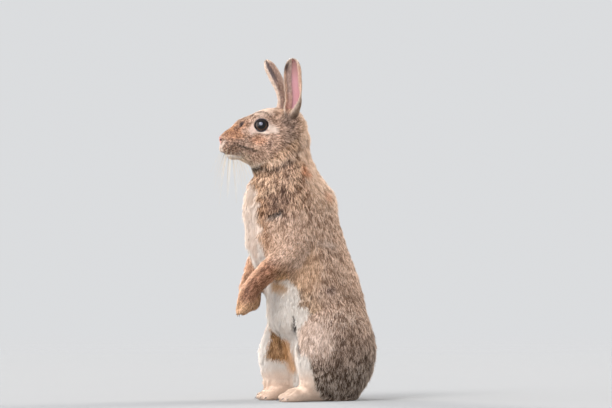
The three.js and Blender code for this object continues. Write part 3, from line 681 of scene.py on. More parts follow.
        # painted highlight on the upper edge, where the normals face up and ahead
        above = ramp(coat.normals @ unit(np.array([-0.6, 0, 0.8])), 0.45, 0.85) * own
        coat.lay(self.LEG_EDGE_HIGHLIGHT, above * 0.85)
        coat.lay(self.LEG_INSIDE, ramp(local[:, 1] * coat.sign, 22, 12) * own * 0.5)
        coat.lay(self.PAW, ramp(local[:, 2] + coat.wobble * 6, 120, 104) * 0.85)
        coat.ticking = (coat.ticking * (1 - own) + 0.95 * own + elbow * 0.2) * (1 - 0.35 * above)

    def haunch(self, coat: Stretch) -> None:
        """Colours a haunch: pale thigh, brown behind, darker low down as painted shade, white before the shin
        and tan inside.
        """
        local = self.stance.hips.local(coat.points)
        ahead, aside = local[:, 0] + coat.wobble * 7, local[:, 1] * coat.sign
        z = local[:, 2] + coat.wobble * 8
        coat.start(self.RUMP)
        coat.lay(self.FLANK, ramp(z, 56, 112) * 0.6)
        thigh = ramp(np.hypot((ahead - 51) / 27, (z - 70) / 24), 1.25, 0.65)
        coat.lay(self.HAUNCH, thigh)
        coat.lay(self.HAUNCH, ramp(np.hypot((ahead - 12) / 24, (z - 92) / 10), 1.4, 0.6) * 0.35)
        # painted shade: darker low down near the floor, and more so towards the back
        low = ramp(z + np.minimum(ahead, 30) * 0.35, 66, 30)
        coat.lay(self.DARK, low * 0.95)
        coat.lay(self.DARK, ramp(ahead, -20, -42) * 0.45)
        white = ramp(ahead - np.interp(local[:, 2], self.SHIN_HEIGHTS, self.SHIN_EDGE), -2.5, 1.5)
        white = np.maximum(white * ramp(z, 60, 50), ramp(aside, 30, 22) * ramp(ahead, -8, 6))
        tan = np.zeros(len(z))
        if coat.sign < 0:
            white = np.maximum(white, ramp(local[:, 0], 50, 57) * ramp(aside, 27, 31) * ramp(z, 94, 86))
            tan = band(aside, 7, 12, 26, 31) * band(z, 41, 47, 82, 90) * ramp(ahead, 30, 40)
        coat.lay(self.PALE, white)
        coat.lay(self.FOOT, white * ramp(z, 42, 22) * 0.8)
        coat.lay(self.TAN, tan * 0.95)
        coat.lay(self.TAN_SHADE, tan * ramp(aside, 21, 15) * ramp(z, 50, 60) * 0.8)
        ticking = 1.15 - 0.6 * thigh * (1 - low) + 0.35 * low
        coat.ticking = ticking * (1 - white) + 0.12 * white + 0.5 * tan

    def foot(self, coat: Stretch) -> None:
        """Colours a hind foot: pinkish buff, dark over the heel."""
        heel = ramp(self.stance.hips.local(coat.points)[:, 0] + coat.wobble * 8, 34, 20)
        coat.start(self.FOOT)
        coat.lay(self.HEEL, heel * 0.9)
        coat.ticking = 0.2 + 0.8 * heel

    def tail(self, coat: Stretch) -> None:
        """Colours the tail: dark towards the back, and white on the side that faces out."""
        inner = ramp(self.stance.hips.local(coat.points)[:, 0] + coat.wobble * 6, -56, -46)
        coat.start(self.PALE)
        coat.lay(self.DARK, inner * 0.9)
        coat.ticking = inner * 0.8

    def hairs(self, sown: dict[str, Array], dice: Array) -> tuple[Array, Array, Array]:
        """The colours of each tuft at its root, middle and tip, with painted shade in the folds.

        Args:
            sown: What the coat's sow returns.
            dice: A random number from 0 to 1 for each tuft.
        """
        points, ticking, fold = sown["points"], sown["ticking"], sown["fold"]
        small, large, tiny = (
            share * self.fine.at(points + a, fine * MM) + (1 - share) * self.wide.at(points + b, wide * MM)
            for share, a, fine, b, wide in self.FLECKS)
        coarse = ramp(ticking, 0.95, 1.4)
        face = ramp(sown["width"], 0.54 * MM, 0.44 * MM)
        flecks = (small * (1 - coarse) + large * coarse) * (1 - face) + tiny * face
        level = ramp(flecks + (dice - 0.5) * 0.4, 0.32, 0.68) * 2 - 1
        drift = 0.92 + 0.16 * self.wide.at(points, 22 * MM)
        shaded = np.minimum(ticking, 1)[:, None]
        base = sown["colour"] * drift[:, None] * (1 - shaded * np.array([0.0, 0.055, 0.13]))
        strong = (level * np.maximum(ticking, 0.10))[:, None] * np.array([0.88, 1.0, 1.12])
        cream = np.maximum(strong, 0) * np.array([0.056, 0.049, 0.041])
        middle = self.kept(base * np.exp(strong * 0.78) * (0.98 - 0.13 * shaded) + cream * 0.6)
        tip = self.kept(base * np.exp(strong * 1.15 + 0.06) + cream)
        root = base * self.under(ticking)[:, None]
        # painted shade in the folds, strongest at the roots
        deep = tone(self.FOLD_SHADE)
        return mixed(root, deep, fold * 0.8), mixed(middle, deep, fold * 0.5), mixed(tip, deep, fold * 0.2)

    @staticmethod
    def under(ticking: Array) -> Array:
        """How bright the coat is at the roots of its tufts, as a share of its colour."""
        return 0.95 - 0.47 * np.minimum(ticking, 1)

    @staticmethod
    def kept(colour: Array, bright: float = 0.6, room: float = 0.34) -> Array:
        """Colours of the same hue, those over bright drawn in softly by the room over it."""
        high = colour.max(axis=1, keepdims=True)
        soft = np.where(high > bright, bright + room * np.tanh((high - bright) / room), high)
        return colour * soft / np.maximum(high, 1e-6)


# --- meshes


def deselect() -> None:
    """Leaves nothing selected and nothing active."""
    for item in bpy.context.selected_objects:
        item.select_set(False)
    bpy.context.view_layer.objects.active = None


def activate(piece: Piece) -> Piece:
    """Selects one object alone and makes it active."""
    deselect()
    piece.select_set(True)
    bpy.context.view_layer.objects.active = piece
    return piece


def mode(name: str) -> None:
    """Goes to edit or object mode."""
    bpy.ops.object.mode_set(mode=name)


def linked(name: str, data: bpy.types.ID) -> Piece:
    """A new object of the scene from its data."""
    piece = bpy.data.objects.new(name, data)
    bpy.context.scene.collection.objects.link(piece)
    return piece


def joined(pieces: list[Piece], name: str) -> Piece:
    """One object made of several."""
    deselect()
    for piece in pieces:
        piece.select_set(True)
    bpy.context.view_layer.objects.active = pieces[0]
    bpy.ops.object.join()
    pieces[0].name = name
    return pieces[0]


def edit_only(piece: Piece, kind: str, chosen: Array) -> None:
    """Leaves an object in edit mode with some of its mesh selected.

    Args:
        piece: A mesh object.
        kind: VERT or FACE.
        chosen: Whether each vertex or face is selected.
    """
    activate(piece)
    mode("EDIT")
    bpy.ops.mesh.select_mode(type=kind)
    bpy.ops.mesh.select_all(action="DESELECT")
    mode("OBJECT")
    rows = piece.data.vertices if kind == "VERT" else piece.data.polygons
    rows.foreach_set("select", chosen)
    mode("EDIT")


def apply_all(piece: Piece) -> Piece:
    """Applies an object's modifiers in order."""
    activate(piece)
    for name in [modifier.name for modifier in piece.modifiers]:
        bpy.ops.object.modifier_apply(modifier=name)
    return piece


def points_of(piece: Piece) -> Array:
    """The vertices of a mesh as n by 3 numbers."""
    flat = np.empty(len(piece.data.vertices) * 3, np.float32)
    piece.data.vertices.foreach_get("co", flat)
    return flat.reshape(-1, 3).astype(float)


def move_points(piece: Piece, points: Array) -> None:
    """Gives a mesh new places for its vertices."""
    piece.data.vertices.foreach_set("co", points.astype(np.float32).ravel())
    piece.data.update()


def triangles_of(piece: Piece) -> Array:
    """The triangles of a mesh as m by 3 vertex numbers."""
    piece.data.calc_loop_triangles()
    flat = np.empty(len(piece.data.loop_triangles) * 3, np.int32)
    piece.data.loop_triangles.foreach_get("vertices", flat)
    return flat.reshape(-1, 3)


def paint(piece: Piece, colours: Array) -> None:
    """Stores n linear colours on the vertices of a mesh."""
    layer = piece.data.color_attributes.new(SHADE, "FLOAT_COLOR", "POINT")
    rgba = np.concatenate([np.clip(colours, 0, 1), np.ones((len(colours), 1))], axis=1)
    layer.data.foreach_set("color", rgba.astype(np.float32).ravel())


def from_arrays(name: str, points: Array, triangles: Array) -> Piece:
    """A mesh object from places and triangles."""
    mesh = bpy.data.meshes.new(name)
    mesh.vertices.add(len(points))
    mesh.vertices.foreach_set("co", points.astype(np.float32).ravel())
    mesh.loops.add(triangles.size)
    mesh.loops.foreach_set("vertex_index", triangles.astype(np.int32).ravel())
    mesh.polygons.add(len(triangles))
    mesh.polygons.foreach_set("loop_start", np.arange(0, triangles.size, 3, dtype=np.int32))
    mesh.update(calc_edges=True)
    return linked(name, mesh)


def shade_smooth(piece: Piece) -> None:
    """Shades every face of a mesh smooth."""
    piece.data.polygons.foreach_set("use_smooth", np.ones(len(piece.data.polygons), bool))
    piece.data.update()


class Net:
    """The neighbours of each vertex of a triangle mesh."""

    def __init__(self, count: int, triangles: Array) -> None:
        """Finds the edges.

        Args:
            count: How many vertices there are.
            triangles: m by 3 vertex numbers.
        """
        pairs = np.sort(triangles[:, [0, 1, 1, 2, 2, 0]].reshape(-1, 2), axis=1)
        keys = np.unique(pairs[:, 0].astype(np.int64) * count + pairs[:, 1])
        a, b = keys // count, keys % count
        self.start = np.concatenate([a, b])
        self.end = np.concatenate([b, a])
        self.count = count
        self.degree = np.maximum(np.bincount(self.start, minlength=count), 1)

    def mean(self, values: Array) -> Array:
        """The mean of each vertex's neighbours."""
        if values.ndim == 1:
            return np.bincount(self.start, values[self.end], self.count) / self.degree
        return np.stack([self.mean(values[:, i]) for i in range(values.shape[1])], axis=1)

    def smooth(self, values: Array, rounds: int, pull: Array | float = 0.5) -> Array:
        """Values drawn towards their neighbours' mean.

        Args:
            values: n or n by k numbers.
            rounds: How many times.
            pull: How far each time, from 0 to 1, for all or for each vertex.
        """
        share = np.asarray(pull)
        if share.ndim and values.ndim == 2:
            share = share[:, None]
        for _ in range(rounds):
            values = values + share * (self.mean(values) - values)
        return values


def normals_at(points: Array, triangles: Array) -> Array:
    """Vertex normals, each the mean of its triangles' by area."""
    a, b, c = (points[triangles[:, i]] for i in range(3))
    faces = np.cross(b - a, c - a)
    rows = [sum(np.bincount(triangles[:, i], row, len(points)) for i in range(3)) for row in faces.T]
    return unit(np.stack(rows, axis=1))


@dataclass
class Pelt:
    """A surface that grows a coat."""

    points: Array  # n by 3 vertices
    triangles: Array  # m by 3 vertex numbers
    normals: Array  # n by 3 outward directions
    places: Array  # the value of Place at each vertex
    flow: Array  # n by 3 directions in which the hair lies
    length: Array  # hair length at each vertex
    width: Array  # tuft width at each vertex
    density: Array  # tufts in a square millimetre at each vertex
    lift: Array  # degrees that the hair rises from the skin at each vertex
    colour: Array  # n by 3 linear colours of the coat
    ticking: Array  # how strongly the coat is ticked at each vertex
    fold: Array  # how deep in a fold of the body each vertex lies, from 0 to 1, and so how much painted shade it gets


# --- finishes


def with_inputs(node: bpy.types.Node, values: dict[str, object]) -> bpy.types.Node:
    """A shader node whose inputs got their values."""
    for name, value in values.items():
        node.inputs[name].default_value = value
    return node


def wire(made: bpy.types.Material, *rows: tuple) -> None:
    """Links nodes of a material, with a node, its output, another node and its input in each row."""
    for source, output, target, entry in rows:
        made.node_tree.links.new(source.outputs[output], target.inputs[entry])


@dataclass(frozen=True)
class Finish:
    """A finish whose colour is painted on the mesh and varied by a fine grain."""

    name: str  # the material's name
    roughness: float = 0.65  # of the surface
    sheen: float = 0.0  # weight of the soft light at grazing angles
    grain: float = 0.0015  # size of the grain
    change: float = 0.12  # share by which the grain changes the colour
    bump: float = 0.0  # height of the grain, in metres, or 0
    coat: float = 0.0  # weight of a clear glossy layer
    glow: float = 0.0  # share of light that spreads under the surface
    specular: float = 0.3  # level of the plain reflection

    def material(self) -> bpy.types.Material:
        """The finish as a material."""
        made = bpy.data.materials.new(self.name)
        made.use_nodes = True
        nodes = made.node_tree.nodes
        shader = with_inputs(nodes["Principled BSDF"], {
            "Roughness": self.roughness,
            "Sheen Weight": self.sheen,
            "Sheen Roughness": 0.45,
            "Sheen Tint": (1.0, 0.9, 0.8, 1.0),
            "Coat Weight": self.coat,
            "Coat Roughness": 0.08,
            "Coat IOR": 1.4,
            "Specular IOR Level": self.specular,
            "Subsurface Weight": self.glow,
            "Subsurface Radius": (0.004, 0.002, 0.001),
        })
        painted = nodes.new("ShaderNodeAttribute")
        painted.attribute_name = SHADE
        where = nodes.new("ShaderNodeTexCoord")
        noise = with_inputs(nodes.new("ShaderNodeTexNoise"), {"Scale": 1 / self.grain, "Detail": 3.0})
        level = with_inputs(
            nodes.new("ShaderNodeMapRange"), {"To Min": 1 - self.change, "To Max": 1 + self.change})
        scaled = nodes.new("ShaderNodeVectorMath")
        scaled.operation = "SCALE"
        wire(made, (where, "Object", noise, "Vector"), (noise, "Fac", level, "Value"),
             (painted, "Color", scaled, 0), (level, "Result", scaled, "Scale"),
             (scaled, "Vector", shader, "Base Color"))
        if self.bump:
            relief = with_inputs(nodes.new("ShaderNodeBump"), {"Distance": self.bump, "Strength": 0.6})
            wire(made, (noise, "Fac", relief, "Height"), (relief, "Normal", shader, "Normal"))
        return made


SKIN = Finish("skin", roughness=0.7, grain=0.0012, change=0.15, bump=0.0002)
FUR = Finish("fur", roughness=0.6, sheen=0.25, grain=0.004, change=0.08, specular=0.12)
EAR = Finish("ear_skin", roughness=0.55, grain=0.002, change=0.10, bump=0.0001, glow=0.15)
EYE = Finish("globe", roughness=0.3, grain=0.0006, change=0.06, coat=1.0, specular=0.0)
LID = Finish("lid", roughness=0.35, grain=0.0008, change=0.10, bump=0.0001, specular=0.5)
HORN = Finish("horn", roughness=0.35, grain=0.0007, change=0.18, specular=0.5)
WHISKER = Finish("stiff_hair", roughness=0.4, grain=0.004, change=0.06, specular=0.5)


def dress(piece: Piece, finish: Finish, colours: Array | None = None) -> Piece:
    """Gives a piece its finish and its place in the frame.

    Args:
        piece: A finished mesh object.
        finish: What it is made of.
        colours: The colour of each vertex, unless it is painted already.
    """
    if colours is not None:
        shade_smooth(piece)
        paint(piece, colours)
    made = bpy.data.materials.get(finish.name) or finish.material()
    piece.data.materials.clear()
    piece.data.materials.append(made)
    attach(piece, BODY)
    log.info("%s: %d faces", piece.name, len(piece.data.polygons))
    return piece


# --- skin


@dataclass(frozen=True)
class Growth:
    """How the coat grows on one part of the body. Millimetres and degrees."""

    depth: float  # how far the skin lies inside the solid
    length: float  # hair length
    width: float  # tuft width
    density: float  # tufts in a square millimetre
    lift: float  # how far the hair rises from the skin
    rounds: int  # rounds of smoothing that the skin gets


GROWTH = {
    "HEAD": Growth(1.3, 4.5, 0.50, 2.0, 19, 7),
    "NECK": Growth(3.0, 9.0, 0.62, 1.80, 22, 34),
    "TORSO": Growth(3.2, 9.0, 0.60, 1.60, 17, 53),
    "TAIL": Growth(3.0, 11.0, 0.64, 1.80, 32, 9),
    "FORELEG": Growth(2.0, 6.3, 0.46, 2.40, 18, 12),
    "FOREPAW": Growth(0.9, 3.8, 0.40, 3.00, 15, 3),
    "HINDLEG": Growth(3.2, 9.5, 0.60, 1.60, 17, 38),
    "HINDFOOT": Growth(1.0, 4.3, 0.42, 2.50, 13, 4),
}


@dataclass
class Skin:
    """The rabbit's skin: one closed surface inside the solids of its flesh, by the depth of the coat."""

    stance: Stance
    markings: Markings
    voxel: float = 1.5 * MM
    overlap: float = 0.35 * MM
    mouth_depth: float = 1.5 * MM
    nostril_depth: float = 2.2 * MM
    toe_depth: float = 1.8 * MM
    flow_rounds: int = 60

    def flesh(self) -> list[Place]:
        """The places that the skin covers."""
        return [place for place in Place if place.part != "EAR"]

    def block(self) -> Piece:
        """One rough closed surface over all the solids of flesh, finer on the face."""
        nodes = frame["nodes"]
        rough = joined([linked(place.node, nodes[place.node].data.copy()) for place in self.flesh()], "skin")
        rough.data.materials.clear()
        mode("EDIT")
        bpy.ops.mesh.select_all(action="SELECT")
        bpy.ops.mesh.remove_doubles(threshold=0.01 * MM)
        mode("OBJECT")
        swell = rough.modifiers.new("overlap", "DISPLACE")
        swell.strength = self.overlap
        swell.mid_level = 0.0
        whole = rough.modifiers.new("whole", "REMESH")
        whole.mode = "VOXEL"
        whole.voxel_size = self.voxel
        apply_all(rough)
        self.keep_outer(rough)
        self.refine_face(rough)
        return rough

    def keep_outer(self, rough: Piece) -> None:
        """Deletes any loose scrap, so that only the surface with the highest point is left."""
        heights = points_of(rough)[:, 2]
        edit_only(rough, "VERT", np.arange(len(heights)) == heights.argmax())
        bpy.ops.mesh.select_linked()
        bpy.ops.mesh.select_all(action="INVERT")
        bpy.ops.mesh.delete(type="VERT")
        mode("OBJECT")

    def refine_face(self, rough: Piece) -> None:
        """Divides the faces of the muzzle and round the eyes, and makes the whole surface triangles."""
        centres = np.empty(len(rough.data.polygons) * 3, np.float32)
        rough.data.polygons.foreach_get("center", centres)
        centres = centres.reshape(-1, 3)
        local = self.stance.head_local(centres)
        fine = (local[:, 0] > 34) & (local[:, 2] > -40)
        for sign in SIDES.values():
            fine |= lengths(centres - self.stance.eye_place(sign)) < 14.5 * MM
        edit_only(rough, "FACE", fine)
        bpy.ops.mesh.subdivide(number_cuts=1)
        bpy.ops.mesh.select_all(action="SELECT")
        bpy.ops.mesh.quads_convert_to_tris()
        mode("OBJECT")

    def name_places(self, points: Array) -> Array:
        """The value of Place at each point, from the nearest solid."""
        corners, faces, owners = [], [], []
        count = 0
        for place in self.flesh():
            node = frame["nodes"][place.node]
            corners.append(points_of(node))
            faces.append(triangles_of(node) + count)
            owners += [place.value] * len(faces[-1])
            count += len(corners[-1])
        tree = BVHTree.FromPolygons(np.concatenate(corners).tolist(), np.concatenate(faces).tolist())
        return np.array(owners)[[tree.find_nearest(Vector(p))[2] for p in points]]

    def growth_at(self, places: Array, name: str) -> Array:
        """One number of GROWTH at each vertex."""
        table = np.zeros(len(Place))
        for place in self.flesh():
            table[place.value] = getattr(GROWTH[place.part], name)
        return table[places]

    def flow(self, points: Array, normals: Array, places: Array, net: Net) -> Array:
        """The direction in which the hair lies at each vertex."""
        stance = self.stance
        back = np.abs(stance.round_body(points)) / 180
        lie = -UP - stance.chest.ahead * (0.25 * back)[:, None]
        paths = {"FORELEG": stance.foreleg, "FOREPAW": stance.foreleg, "HINDFOOT": stance.foot}
        for place in self.flesh():
            here = places == place.value
            p = points[here]
            if place == Place.HEAD:
                lie[here] = unit(p - stance.in_head(66, 0, -4))
            elif place == Place.TAIL:
                lie[here] = along_path(p, stance.tail())
            elif place.part == "HINDLEG":
                lie[here] = unit(stance.hips.ahead * 0.10 - UP)
            elif place.part in paths:
                lie[here] = along_path(p, paths[place.part](place.sign))
        for _ in range(self.flow_rounds):
            lie = unit(lie - normals * (lie * normals).sum(1, keepdims=True))
            lie = 0.4 * lie + 0.6 * net.mean(lie)
        for sign in SIDES.values():
            away = points - stance.eye_place(sign)
            gap = lengths(away) / MM - stance.eye_radius
            lie = mixed(unit(lie), unit(away), ramp(gap, 4.9, 0.4) * 0.8)
            root, knot = stance.ear(sign)[:2]
            lie = mixed(unit(lie), unit(knot - root), ramp(self.ear_gap(points, sign), 7.0, 1.5) * 0.9)
        return unit(lie - normals * (lie * normals).sum(1, keepdims=True))

    def feet(self, points: Array, sign: int) -> tuple[Array, Array, Array, Array]:
        """Where points lie from the feet of one side, in millimetres.

        Returns:
            Their places in the hips' frame and how far they are past the end of the hind foot, and their
            places from the forepaw's knuckles in the chest's frame and how far they are past those.
        """
        hips, chest = self.stance.hips, self.stance.chest
        local = hips.local(points)
        wrist, knuckle = (chest.local(p[None])[0] for p in self.stance.foreleg(sign)[-2:])
        away = chest.local(points) - knuckle
        past = local[:, 0] - self.stance.heel(sign) - self.stance.foot_length
        return local, past, away, away @ unit(knuckle - wrist)

    def between_toes(self, points: Array, normals: Array, sign: int) -> Array:
        """How strongly each point lies in a groove between two toes of a side's feet."""
        local, past, away, reach = self.feet(points, sign)
        aside = (local[:, 1] * sign - self.stance.foot_aside) / self.stance.hind_toe
        off = away[:, 1] / self.stance.fore_toe
        hind = ramp(past, -26, -14) * ramp(local[:, 2], 20, 15) * ramp(normals[:, 2], -0.75, -0.3)
        fore = ramp(reach, -3, 4) * ramp(lengths(away), 24, 20)
        found = np.zeros(len(points))
        for line in (-1.0, 0.0, 1.0):
            found += np.exp(-(((aside - line) / 0.20) ** 2)) * hind
            found += np.exp(-(((off - line) / 0.24) ** 2)) * fore
        return found

    def toe_tips(self, points: Array) -> Array:
        """Which points lie at the end of a toe, from 0 to 1."""
        found = np.zeros(len(points))
        for sign in SIDES.values():
            local, past, away, reach = self.feet(points, sign)
            hind = ramp(past, -12, -4) * ramp(local[:, 2], 22, 16) * (local[:, 1] * sign > 0)
            fore = ramp(reach, 3, 9) * ramp(lengths(away), 26, 22)
            found = np.maximum(found, np.maximum(hind, fore))
        return found

    def eye_gap(self, points: Array) -> Array:
        """Millimetres from the surface of the nearer eye."""
        gaps = [lengths(points - self.stance.eye_place(sign)) for sign in SIDES.values()]
        return np.min(gaps, axis=0) / MM - self.stance.eye_radius

    def ear_gap(self, points: Array, sign: int) -> Array:
        """Millimetres from the foot of an ear."""
        root = self.stance.ear(sign)[0]
        return lengths((points - root) * np.array([1, 1, 0.7])) / MM - 7.5

    def fuller(self, points: Array) -> Array:
        """Millimetres by which the skin lies further out than the coat's depth alone would put it."""
        local = self.stance.head_local(points)
        ahead, aside, up = local[:, 0], np.abs(local[:, 1]), local[:, 2]
        turned, z = np.abs(self.stance.round_body(points)), points[:, 2] / MM
        bridge = 2.0 * band(ahead, 30, 41, 53, 60) * ramp(aside, 12, 6) * ramp(up, -3, 3)
        lip = 2.0 * np.exp(-(((ahead - 59) / 7) ** 2) - ((up + 18) / 6.5) ** 2)
        throat = 2.6 * ramp(aside, 16, 8) * band(ahead, 8, 18, 34, 42) * ramp(up, -22, -30)
        chest = 2.6 * ramp(turned, 75, 40) * band(z, 182, 205, 260, 268)
        nape = 1.6 * ramp(turned, 110, 140) * ramp(z, 225, 245)
        return bridge + lip + throat - chest - nape

    def carve(self, points: Array, normals: Array) -> Array:
        """Sinks mouth, cleft of the lip, nostrils, folds and grooves between the toes into the skin."""
        local = self.stance.head_local(points)
        ahead, aside, up = local[:, 0], np.abs(local[:, 1]), local[:, 2]
        line = mouth_line(ahead)
        mouth = np.exp(-(((up - line) / 0.75) ** 2)) * ramp(ahead, 35, 41)
        cleft = np.exp(-((aside / 0.7) ** 2)) * band(up, -21.0, -18.5, -11.0, -8.0) * ramp(ahead, 52, 56)
        across = (ahead - 60.0) * 0.72 + (up + 6.2) * 0.35
        along = np.hypot((aside - 3.6) * 0.55, (up + 6.5 - (aside - 3.6) * 0.7) * 1.0)
        nostril = np.exp(-((along / 1.25) ** 2)) * ramp(ahead, 54, 57) * ramp(np.abs(across), 4.5, 2.5)
        lips = np.exp(-(((up - line - 2.4) / 1.6) ** 2)) * ramp(ahead, 38, 46) * 0.35 * MM
        sink = mouth * self.mouth_depth + cleft * 1.1 * MM + nostril * self.nostril_depth - lips
        over = points + normals * self.markings.over
        for mark in BODY_MARKS:
            sink = sink + mark.weight(self.stance, over) * mark.sink * MM
        for sign in SIDES.values():
            sink = sink + self.between_toes(points, normals, sign) * self.toe_depth
        return points - normals * sink[:, None]

    def build(self) -> tuple[Piece, Pelt]:
        """Makes the skin.

        Returns:
            The skin as a dressed piece, and the same surface with all that its coat needs to grow.
        """
        piece = self.block()
        points, triangles = points_of(piece), triangles_of(piece)
        net = Net(len(points), triangles)
        places = self.name_places(points)
        rounds = net.smooth(self.growth_at(places, "rounds"), 6)
        for step in range(int(rounds.max())):
            points = net.smooth(points, 1, np.clip(rounds - step, 0, 1) * 0.5)
        normals = normals_at(points, triangles)
        local = self.stance.head_local(points)
        on_head = places == Place.HEAD.value
        nose_gap = lengths(local - np.array([60, 0, -8]))
        eye_gap = self.eye_gap(points)
        depth = net.smooth(self.growth_at(places, "depth"), 20)
        face = depth * ramp(nose_gap, 4, 22) * ramp(eye_gap, 0.4, 6.4) + 0.1 + 0.8 * ramp(eye_gap, 4.0, 1.0)
        depth = np.where(on_head, face, depth)
        depth = depth - self.fuller(points)
        depth = depth * (1 - ramp(points[:, 2] / MM, 4, 1.5) * ramp(normals[:, 2], -0.3, -0.8))
        points = points - normals * net.smooth(depth, 4)[:, None] * MM
        points = net.smooth(points, 2, 0.4)
        points[:, 2] = np.maximum(points[:, 2], 0.0)
        points = self.carve(points, normals_at(points, triangles))
        normals = normals_at(points, triangles)
        pelt = self.pelt(points, triangles, normals, places, net, nose_gap, eye_gap)
        move_points(piece, points)
        dress(piece, SKIN, self.skin_colour(pelt, local))
        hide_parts(*[place.node for place in self.flesh()])
        return piece, pelt

    def skin_colour(self, pelt: Pelt, local: Array) -> Array:
        """The skin's colour: the coat's, darker under the tufts, with painted shade in the folds, the mouth's
        slit and the nostrils.
        """
        colour, ticking = self.markings.ground(pelt.points, pelt.normals, pelt.places)
        deep = np.where(pelt.density > 0, self.markings.under(ticking), 1.0)
        # painted shade in the folds
        colour = mixed(colour * deep[:, None], tone(Markings.FOLD_SHADE), pelt.fold * 0.8)
        colour = mixed(colour, tone("2c1f1a"), ramp(self.eye_gap(pelt.points), 1.0, 0.5))
        ahead, aside, up = local[:, 0], np.abs(local[:, 1]), local[:, 2]
        # painted shade in the nostrils
        hole = ramp(np.hypot((aside - 3.6) * 0.6, up + 6.5), 1.9, 0.9) * ramp(ahead, 55, 57)
        colour = mixed(colour, tone("2a1815"), hole)
        # painted shade along the slit of the mouth
        gap = ramp(np.abs(up - mouth_line(ahead)), 1.4, 0.8) * ramp(ahead, 36, 41)
        return mixed(colour, tone("2e201d"), gap)

    def pelt(self, points: Array, triangles: Array, normals: Array, places: Array, net: Net,
             nose_gap: Array, eye_gap: Array) -> Pelt:
        """All that the coat needs to grow on the skin.

        Args:
            points: The skin's vertices.
            triangles: Its triangles.
            normals: Its outward directions.
            places: The value of Place at each vertex.
            net: Its neighbours.
            nose_gap: Millimetres from the tip of the nose.
            eye_gap: Millimetres from the surface of the nearer eye.
        """
        local = self.stance.head_local(points)
        ahead, aside, up = local[:, 0], np.abs(local[:, 1]), local[:, 2]
        turned, z = np.abs(self.stance.round_body(points)), points[:, 2] / MM
        on_head = places == Place.HEAD.value
        on_trunk = Place.among(places, "TORSO", "NECK")
        low_chest = on_trunk * ramp(turned, 60, 25) * ramp(z, 205, 185)
        throat = ramp(aside, 16, 9) * band(ahead, 10, 18, 34, 40) * ramp(up, -24, -30)
        ahead_of_hips = self.stance.hips.local(points)[:, 0]
        shin = Place.among(places, "HINDLEG") * ramp(ahead_of_hips, 34, 46) * ramp(z, 62, 30)
        face = np.interp(ahead, (-30, -12, 5, 30, 48, 60), (7.5, 5.6, 4.4, 3.2, 2.2, 1.4))
        face = face + 2.0 * ramp(up, -8, -26) * ramp(ahead, 35, 15)
        length = np.where(on_head, face, self.growth_at(places, "length")) + low_chest + 2.0 * throat
        length = length + 2.5 * on_trunk * ramp(turned, 120, 155) * band(z, 215, 235, 268, 290)
        length = net.smooth(length * (1 - 0.5 * self.toe_tips(points)) * (1 - 0.45 * shin), 12)
        length = length * np.clip((eye_gap + 1.0) / 6.0, 0.22, 1)
        width = net.smooth(self.growth_at(places, "width"), 12)
        width = np.where(on_head, np.interp(ahead, (-25, 20, 50), (0.52, 0.38, 0.27)), width)
        density = net.smooth(self.growth_at(places, "density"), 8)
        density = np.where(on_head, np.interp(ahead, (-25, 20, 50), (2.6, 3.9, 6.0)), density)
        bare = (eye_gap < 0.75) | ((nose_gap < 4.2) & (up > -12)) | ((z < 1.2) & (normals[:, 2] < -0.4))
        bare |= (np.abs(up - mouth_line(ahead)) < 1.2) & (ahead > 38)
        density = np.where(bare, 0.0, density)
        lift = self.growth_at(places, "lift") + low_chest * 6 + throat * 10
        lift = net.smooth(lift + on_trunk * ramp(turned, 130, 160) * ramp(z, 215, 235) * 4, 12)
        flow = self.flow(points, normals, places, net)
        fold = np.where(on_head, 0.0, self.markings.fold_at(points, normals))
        for step in range(10, -1, -1):  # hair ends shortly before a fold that it lies across
            there = self.markings.fold_at(points + flow * step * MM, normals) > 0.5
            length = np.where(there & ~on_head, np.minimum(length, step + 1.6), length)
        seen = points + flow * (length * 0.55 * MM)[:, None]
        return Pelt(points, triangles, normals, places, flow, length * MM, width * MM, density, lift,
                    *self.markings.ground(seen, normals, places), fold)


# --- ears


